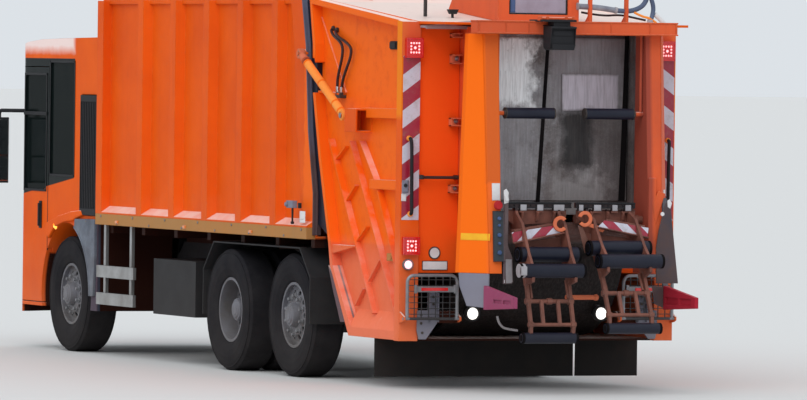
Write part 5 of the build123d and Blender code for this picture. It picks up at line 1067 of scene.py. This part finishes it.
def build_body_trim():
    """Marker lamps, bolts, lift hoses, seals, cylinder fittings and the valve along the body."""
    for name, side in SIDES.items():
        with piece("side_markers", "chassis", "amber_lens", 0.004, side=name) as new:
            for x in (3.34, 4.95, 6.66):
                new.block((x, x + 0.07), (1.2555, 1.262), (1.222, 1.252))
                new.block((x + 0.008, x + 0.062), (1.262, 1.27), (1.227, 1.247))
        with piece("rail_bolts", "chassis", "galvanised", 0.001, side=name) as new:
            for i in range(7):
                x = 2.2 + i * 0.82
                new.peg(x, (1.2555, 1.262), 1.285, 0.011, 0.01, 6)
                new.peg(x + 0.4, (1.2555, 1.262), 1.225, 0.011, 0.01, 6)
        with piece("roof_hinge_nuts", "chassis", "galvanised", 0.001, side=name) as new:
            for way in (-side, side):
                new.peg(2.3, (0.7 + way * 0.031, 0.7 + way * 0.042), 3.33, 0.022, 0.02, 6)
        for mark, route in HOSE_ROUTES.items():
            for i, points in enumerate((route, HOSE_ENDS[mark])):
                spots = [(x, side * HOSE_OUT, z) for x, z in points]
                if i == 0:
                    spots = [(points[0][0], side * 1.112, points[0][1]), *spots]
                made = bent_bar(f"lift_hose_{mark}_{i}_{name}", "tailgate", ("hose_rubber", "rod_chrome")[i], spots,
                                (0.0125, 0.0165)[i])
                if mark == "a" and i == 0 and side > 0:
                    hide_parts("lift_hoses")
        with piece("hose_block", "tailgate", "steel_dark", 0.002, side=name) as new:
            new.block((1.57, 1.71), (1.111, 1.168), (2.425, 2.452))
            for x in (1.681, 1.599):
                new.peg(x, 1.146, (2.43, 2.474), 0.021, 0.019, 6)
            for x, z in ((1.863, 3.02), (1.775, 3.006)):
                new.peg(x, (1.1105, 1.132), z, 0.024, 0.022, 6)
        with piece("tailgate_marker", "tailgate", "black_plastic", side=name) as new:
            new.block((0.44, 0.585), (1.111, 1.124), (2.846, 2.916))
            new.block((0.452, 0.572), (1.122, 1.136), (2.857, 2.906))
        with piece("edge_seal", "chassis", "seal_brown", side=name) as new:
            for i, (back, front) in enumerate(((-0.018, 0.001), (-0.022, -0.012))):
                outline = [(x + back, z) for x, z in POST_EDGE] + [(x + front, z) for x, z in POST_EDGE[::-1]]
                new.slab(outline, "y", (1.13 + 0.03 * i, 1.206 - 0.03 * i))
        with piece("rod_clamp", f"rod_{name}", "hook_orange", 0.002, side=name) as new:
            eye = Vector((2.29, 1.243, 2.8))
            for near, far, radius in ((0.03, 0.06, 0.03), (0.055, 0.12, 0.034), (0.118, 0.128, 0.039)):
                new.bar(eye - CYLINDER_WAY * near, eye - CYLINDER_WAY * far, radius, radius, 24)
            new.ring((2.29, 2.8), 0.022, 0.0445, (1.217, 1.269), along="y")
            new.peg(2.29, (1.268, 1.279), 2.8, 0.02, 0.017, 6)
        with piece("grease_box", "tailgate", "rail_ochre", side=name) as new:
            new.block((0.36, 0.56), (1.111, 1.14), (1.065, 1.13))
            new.peg(0.46, (1.14, 1.15), 1.098, 0.018)
        with piece("barrel_rings", f"barrel_{name}", "cylinder_shade", 0.001, side=name) as new:
            for reach, radius in ((0.06, 0.0395), (0.2, 0.0385), (0.56, 0.0385), (0.925, 0.0395)):
                start = Vector((1.3, 1.243, 2.28)) + CYLINDER_WAY * reach
                new.bar(start, start + CYLINDER_WAY * 0.022, radius, radius, 28)
        with piece("barrel_pin_cap", "tailgate", "galvanised", 0.001, side=name) as new:
            new.peg(1.3, (1.2765, 1.284), 2.28, 0.024, 0.02, 20)
    with piece("body_valve", "chassis", "grey_paint") as new:
        new.block((2.3, 2.45), (1.2555, 1.3), (1.468, 1.532))
        new.peg(2.43, (1.3, 1.318), 1.5, 0.022, 0.018, 16)
    with piece("body_valve_lever", "chassis", "black_plastic", 0.002) as new:
        new.peg(2.335, 1.285, (1.505, 1.345), 0.01, 0.008)
        new.peg(2.335, 1.285, (1.352, 1.33), 0.016, 0.014)
        new.block((2.2, 2.24), (1.2555, 1.276), (1.468, 1.515))
    with piece("body_valve_label", "chassis", "blank_label", 0.0005) as new:
        new.block((2.11, 2.235), (1.256, 1.259), (1.345, 1.445))
        new.block((2.135, 2.22), (1.259, 1.261), (1.375, 1.425))
    with piece("body_roof_ribs", "chassis", "orange_paint") as new:
        for y in (1.1, -1.1):
            new.block((2.45, 7.24), (y - 0.012, y + 0.012), (3.3205, 3.334))
        for x in (3.2, 4.1, 5.0, 5.9, 6.8):
            new.block((x, x + 0.05), (-1.09, 1.09), (3.3205, 3.33))


def build_footboard_trim():
    """The beam with its reflector and the grey brackets at each footboard."""
    for name in SIDES:
        with piece("bracket_holes", "tailgate", "steel_dark", 0, side=name) as new:
            for y, z in ((1.066, 0.63), (1.066, 0.56), (1.055, 0.48), (0.957, 0.78), (0.957, 0.72)):
                new.peg((-0.0345, -0.031), y, z, 0.012, 0.012, 12)
        with piece("footboard_beam", f"footboard_{name}", "galvanised", 0.002, side=name) as new:
            new.slab([(-0.108, 0.822), (-0.098, 0.822), (-0.098, 0.872), (-0.108, 0.872)], "y", (0.785, 1.16))
            for y in (0.79, 1.15):
                new.block((-0.112, -0.094), (y - 0.012, y + 0.012), (0.812, 0.884))
        # The reflector wears the red cluster lens: its faint glow is painted light on a part that is no lamp
        with piece("footboard_reflector", f"footboard_{name}", "cluster_red", 0.001, side=name) as new:
            new.block((-0.114, -0.1085), (0.86, 1.1), (0.834, 0.86))
        with piece("footboard_bracket", "tailgate", "grey_paint", side=name) as new:
            new.slab([(1.0, 0.82), (0.915, 0.82), (0.915, 0.56), (1.0, 0.56)], "x", (-0.02, -0.008))
            new.slab([(1.1, 0.668), (0.915, 0.668), (0.92, 0.56), (1.02, 0.425), (1.085, 0.425), (1.104, 0.5)], "x",
                     (-0.032, -0.018))
            for y in (0.915, 0.992):
                new.block((-0.062, 0.004), (y, y + 0.008), (0.57, 0.815))


def build_roof_trim():
    """Lamps, brackets, bundled hoses and the blank plate on the tailgate's roof, and the hook under its floor."""
    with piece("roof_work_lamp", "tailgate", "steel_dark", 0.004) as new:
        new.slab([(0.84, 3.3), (0.99, 3.3), (0.98, 3.385), (0.85, 3.385)], "x", (0.3, 0.36))
        new.block((0.315, 0.345), (0.9, 0.925), (3.125, 3.3))
    with piece("roof_small_lamp", "tailgate", "black_plastic") as new:
        new.slab([(0.6, 3.19), (0.69, 3.19), (0.67, 3.15), (0.62, 3.15)], "x", (0.34, 0.4))
        new.block((0.355, 0.385), (0.64, 0.655), (3.115, 3.155))
    with piece("hose_brackets", "tailgate", "portal_paint") as new:
        for y, high in ((-0.455, 3.375), (-0.79, 3.345)):
            new.block((-0.02, 0.02), (y - 0.014, y + 0.014), (3.08, high))
            new.slab([(-0.03, 3.082), (0.1, 3.094), (0.02, 3.16), (-0.01, 3.16)], "y", (y - 0.008, y + 0.008))
        new.block((-0.016, 0.016), (-0.48, -0.41), (3.34, 3.362))
    bundles = (
        ("hose_wrap", [(0.02, -0.36, 3.229), (0.02, -0.47, 3.226), (0.02, -0.584, 3.217), (0.02, -0.7, 3.2)],
         0.024, "wrap_grey"),
        ("hose_bundle_a", [(0.02, -0.69, 3.201), (0.02, -0.8, 3.19), (0.02, -0.9, 3.21), (0.02, -0.968, 3.255),
                           (0.02, -0.995, 3.33), (0.06, -1.0, 3.39)], 0.021, "blue_hose"),
        ("hose_bundle_b", [(0.08, -0.8, 3.385), (0.04, -0.93, 3.4), (0.02, -1.01, 3.35), (0.0, -1.045, 3.24),
                           (-0.01, -1.03, 3.16), (-0.01, -1.008, 3.1)], 0.019, "blue_hose"),
        ("hose_thin_a", [(0.1, -0.42, 3.18), (0.08, -0.6, 3.15), (0.06, -0.76, 3.165), (0.04, -0.88, 3.14),
                         (0.02, -0.98, 3.12)], 0.009, "hose_rubber"),
        ("hose_thin_b", [(-0.01, -0.86, 3.185), (-0.02, -0.93, 3.15), (-0.02, -1.0, 3.14), (-0.02, -1.06, 3.1)],
         0.01, "cylinder_paint"),
        ("hose_fitting", [(0.0, -1.055, 3.172), (0.0, -1.105, 3.135), (0.0, -1.15, 3.085), (0.0, -1.185, 3.055)],
         0.021, "blank_label"),
    )
    for name, route, radius, finish in bundles:
        bent_bar(name, "tailgate", finish, route, radius)
    with piece("hose_ends", "tailgate", "pad_grey", 0.002) as new:
        new.bar((-0.01, -1.01, 3.125), (-0.01, -1.004, 3.08), 0.026, 0.022, 20)
        new.bar((0.02, -0.355, 3.229), (0.02, -0.345, 3.229), 0.032, 0.032, 20)
        new.bar((0.02, -0.69, 3.202), (0.02, -0.712, 3.198), 0.028, 0.028, 20)
    with piece("housing_strip", "tailgate", "button_blue", 0) as new:
        new.block((0.0525, 0.0545), (0.209, 0.254), (3.17, 3.356))
        new.block((0.0515, 0.0525), (0.215, 0.248), (3.178, 3.348))
    with piece("rear_plate_blank", "tailgate", "plate_blank", 0.001) as new:
        new.block((0.0545, 0.0595), (-0.256, 0.256), (3.166, 3.36))
    with piece("rear_plate_frame", "tailgate", "black_plastic", 0.002) as new:
        for y in (0.262, -0.262):
            new.block((0.048, 0.06), (y - 0.006, y + 0.006), (3.16, 3.366))
        for z in (3.16, 3.366):
            new.block((0.048, 0.06), (-0.268, 0.268), (z - 0.006, z + 0.006))
    hook = [(-0.6, 0.62, 0.64), (-0.6, 0.612, 0.6), (-0.6, 0.585, 0.56), (-0.6, 0.546, 0.534), (-0.6, 0.434, 0.521)]
    bent_bar("low_drain_hook", "tailgate", "pad_grey", hook, 0.01)


# The three seats' middles across the cab
SEAT_MIDDLES = (0.76, -0.62, -0.965)


def build_seats():
    """Crowned cushions in place of the plain seat blocks."""
    for index, middle in enumerate(SEAT_MIDDLES):
        parts = (
            ("cushion", (8.64, 9.085), (middle - 0.16, middle + 0.16), (1.225, 1.33), 0.0),
            ("back", (8.455, 8.555), (middle - 0.16, middle + 0.16), (1.33, 2.07), -0.11),
        )
        for label, x, y, z, lean in parts:
            form = Form()
            form.block(x, y, z)
            bm = form.bm
            bmesh.ops.subdivide_edges(bm, edges=bm.edges[:], cuts=7, use_grid_fill=True)
            centre = Vector((station(sum(x) / 2), sum(y) / 2, sum(z) / 2))
            half = Vector(((x[1] - x[0]) / 2, (y[1] - y[0]) / 2, (z[1] - z[0]) / 2))
            thin = 2 if label == "cushion" else 0
            for vert in bm.verts:
                local = Vector(((vert.co - centre)[i] / half[i] for i in range(3)))
                across = [local[i] for i in range(3) if i != thin]
                fall = (1 - abs(across[0]) ** 3) * (1 - abs(across[1]) ** 3)
                pinch = 1 - 0.055 * abs(local[thin]) * (1 - fall)
                shape = Vector((local[i] * (pinch if i != thin else 0.62 + 0.38 * fall) for i in range(3)))
                seam = 0.03 * math.exp(-((local.y * 3.2) % 2 - 1) ** 2 * 30)
                shape[thin] *= 1 - seam
                vert.co = centre + Vector((shape[i] * half[i] for i in range(3)))
                if lean:
                    vert.co.x += lean * (vert.co.z - z[0])
            mesh = bpy.data.meshes.new(f"seat_{label}_{index}")
            bm.to_mesh(mesh)
            bm.free()
            for face in mesh.polygons:
                face.use_smooth = True
            seat = bpy.data.objects.new(mesh.name, mesh)
            bpy.context.scene.collection.objects.link(seat)
            mesh.materials.append(FINISHES["seat_fabric"])
            soft = seat.modifiers.new("soft form", "SUBSURF")
            soft.levels = soft.render_levels = 1
            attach(seat, "chassis")
    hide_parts("seats")

    with piece("seat_pedestals", "chassis", "black_plastic", 0.006) as new:
        for middle in SEAT_MIDDLES:
            new.block((8.87, 9.06), (middle - 0.1, middle + 0.1), (0.61, 1.222))
            new.block((8.62, 9.06), (middle - 0.14, middle + 0.14), (1.2, 1.224))


def make_stage():
    """A plain pale floor that runs out of sight, under a pale sky."""
    bpy.ops.mesh.primitive_plane_add(size=900, location=(0, 0, 0))
    floor = bpy.context.object
    floor.name = "floor"
    material, _, shader = start_material("floor_pale")
    shader.inputs["Base Color"].default_value = (0.66, 0.66, 0.65, 1)
    shader.inputs["Roughness"].default_value = 0.9
    floor.data.materials.append(material)


def make_light():
    """An even sky, with a broad soft lamp over the left rear corner and a weaker one ahead."""
    world = bpy.data.worlds.new("studio")
    world.use_nodes = True
    bpy.context.scene.world = world
    sky = world.node_tree.nodes["Background"]
    sky.inputs["Color"].default_value = (0.9, 0.95, 1.0, 1)
    sky.inputs["Strength"].default_value = 0.8
    for name, direction, strength, angle in (
        ("soft_key", (-0.6, 0.5, 0.8), 1.15, 50),
        ("soft_fill", (0.7, -0.5, 0.8), 0.25, 70),
    ):
        data = bpy.data.lights.new(name, "SUN")
        data.energy = strength
        data.angle = math.radians(angle)
        lamp = bpy.data.objects.new(name, data)
        bpy.context.scene.collection.objects.link(lamp)
        lamp.rotation_mode = "QUATERNION"
        lamp.rotation_quaternion = Vector(direction).to_track_quat("Z", "Y")


# The photograph's camera: where it stands and how it is turned
CAMERA_AT = (-64.542, 26.521, 2.813)
CAMERA_YAW = -0.39678
CAMERA_PITCH = -0.01869
CAMERA_ROLL = 0.01313
FOCAL_PIXELS = 7838.4
IMAGE_WIDTH = 807
SENSOR_WIDTH = 36.0


def make_camera():
    """The photograph's long-lens view of the left rear corner."""
    data = bpy.data.cameras.new("photo_view")
    data.sensor_width = SENSOR_WIDTH
    data.lens = SENSOR_WIDTH * FOCAL_PIXELS / IMAGE_WIDTH
    data.clip_start, data.clip_end = 1.0, 2000.0
    camera = bpy.data.objects.new("photo_view", data)
    bpy.context.scene.collection.objects.link(camera)
    ahead = Vector((
        math.cos(CAMERA_PITCH) * math.cos(CAMERA_YAW),
        math.cos(CAMERA_PITCH) * math.sin(CAMERA_YAW),
        math.sin(CAMERA_PITCH),
    ))
    right = Vector((math.sin(CAMERA_YAW), -math.cos(CAMERA_YAW), 0))
    up = right.cross(ahead)
    rolled_right = right * math.cos(CAMERA_ROLL) + up * math.sin(CAMERA_ROLL)
    rolled_up = -right * math.sin(CAMERA_ROLL) + up * math.cos(CAMERA_ROLL)
    turned = Matrix((rolled_right, rolled_up, -ahead)).transposed()
    camera.matrix_world = Matrix.Translation(CAMERA_AT) @ turned.to_4x4()
    bpy.context.scene.camera = camera


build_post_trim()
build_portal_trim()
build_lifter_trim()
build_wheels()
build_cab_trim()
build_body_trim()
build_footboard_trim()
build_roof_trim()
build_seats()

make_stage()
make_light()
make_camera()
bpy.context.scene.view_settings.view_transform = "Standard"
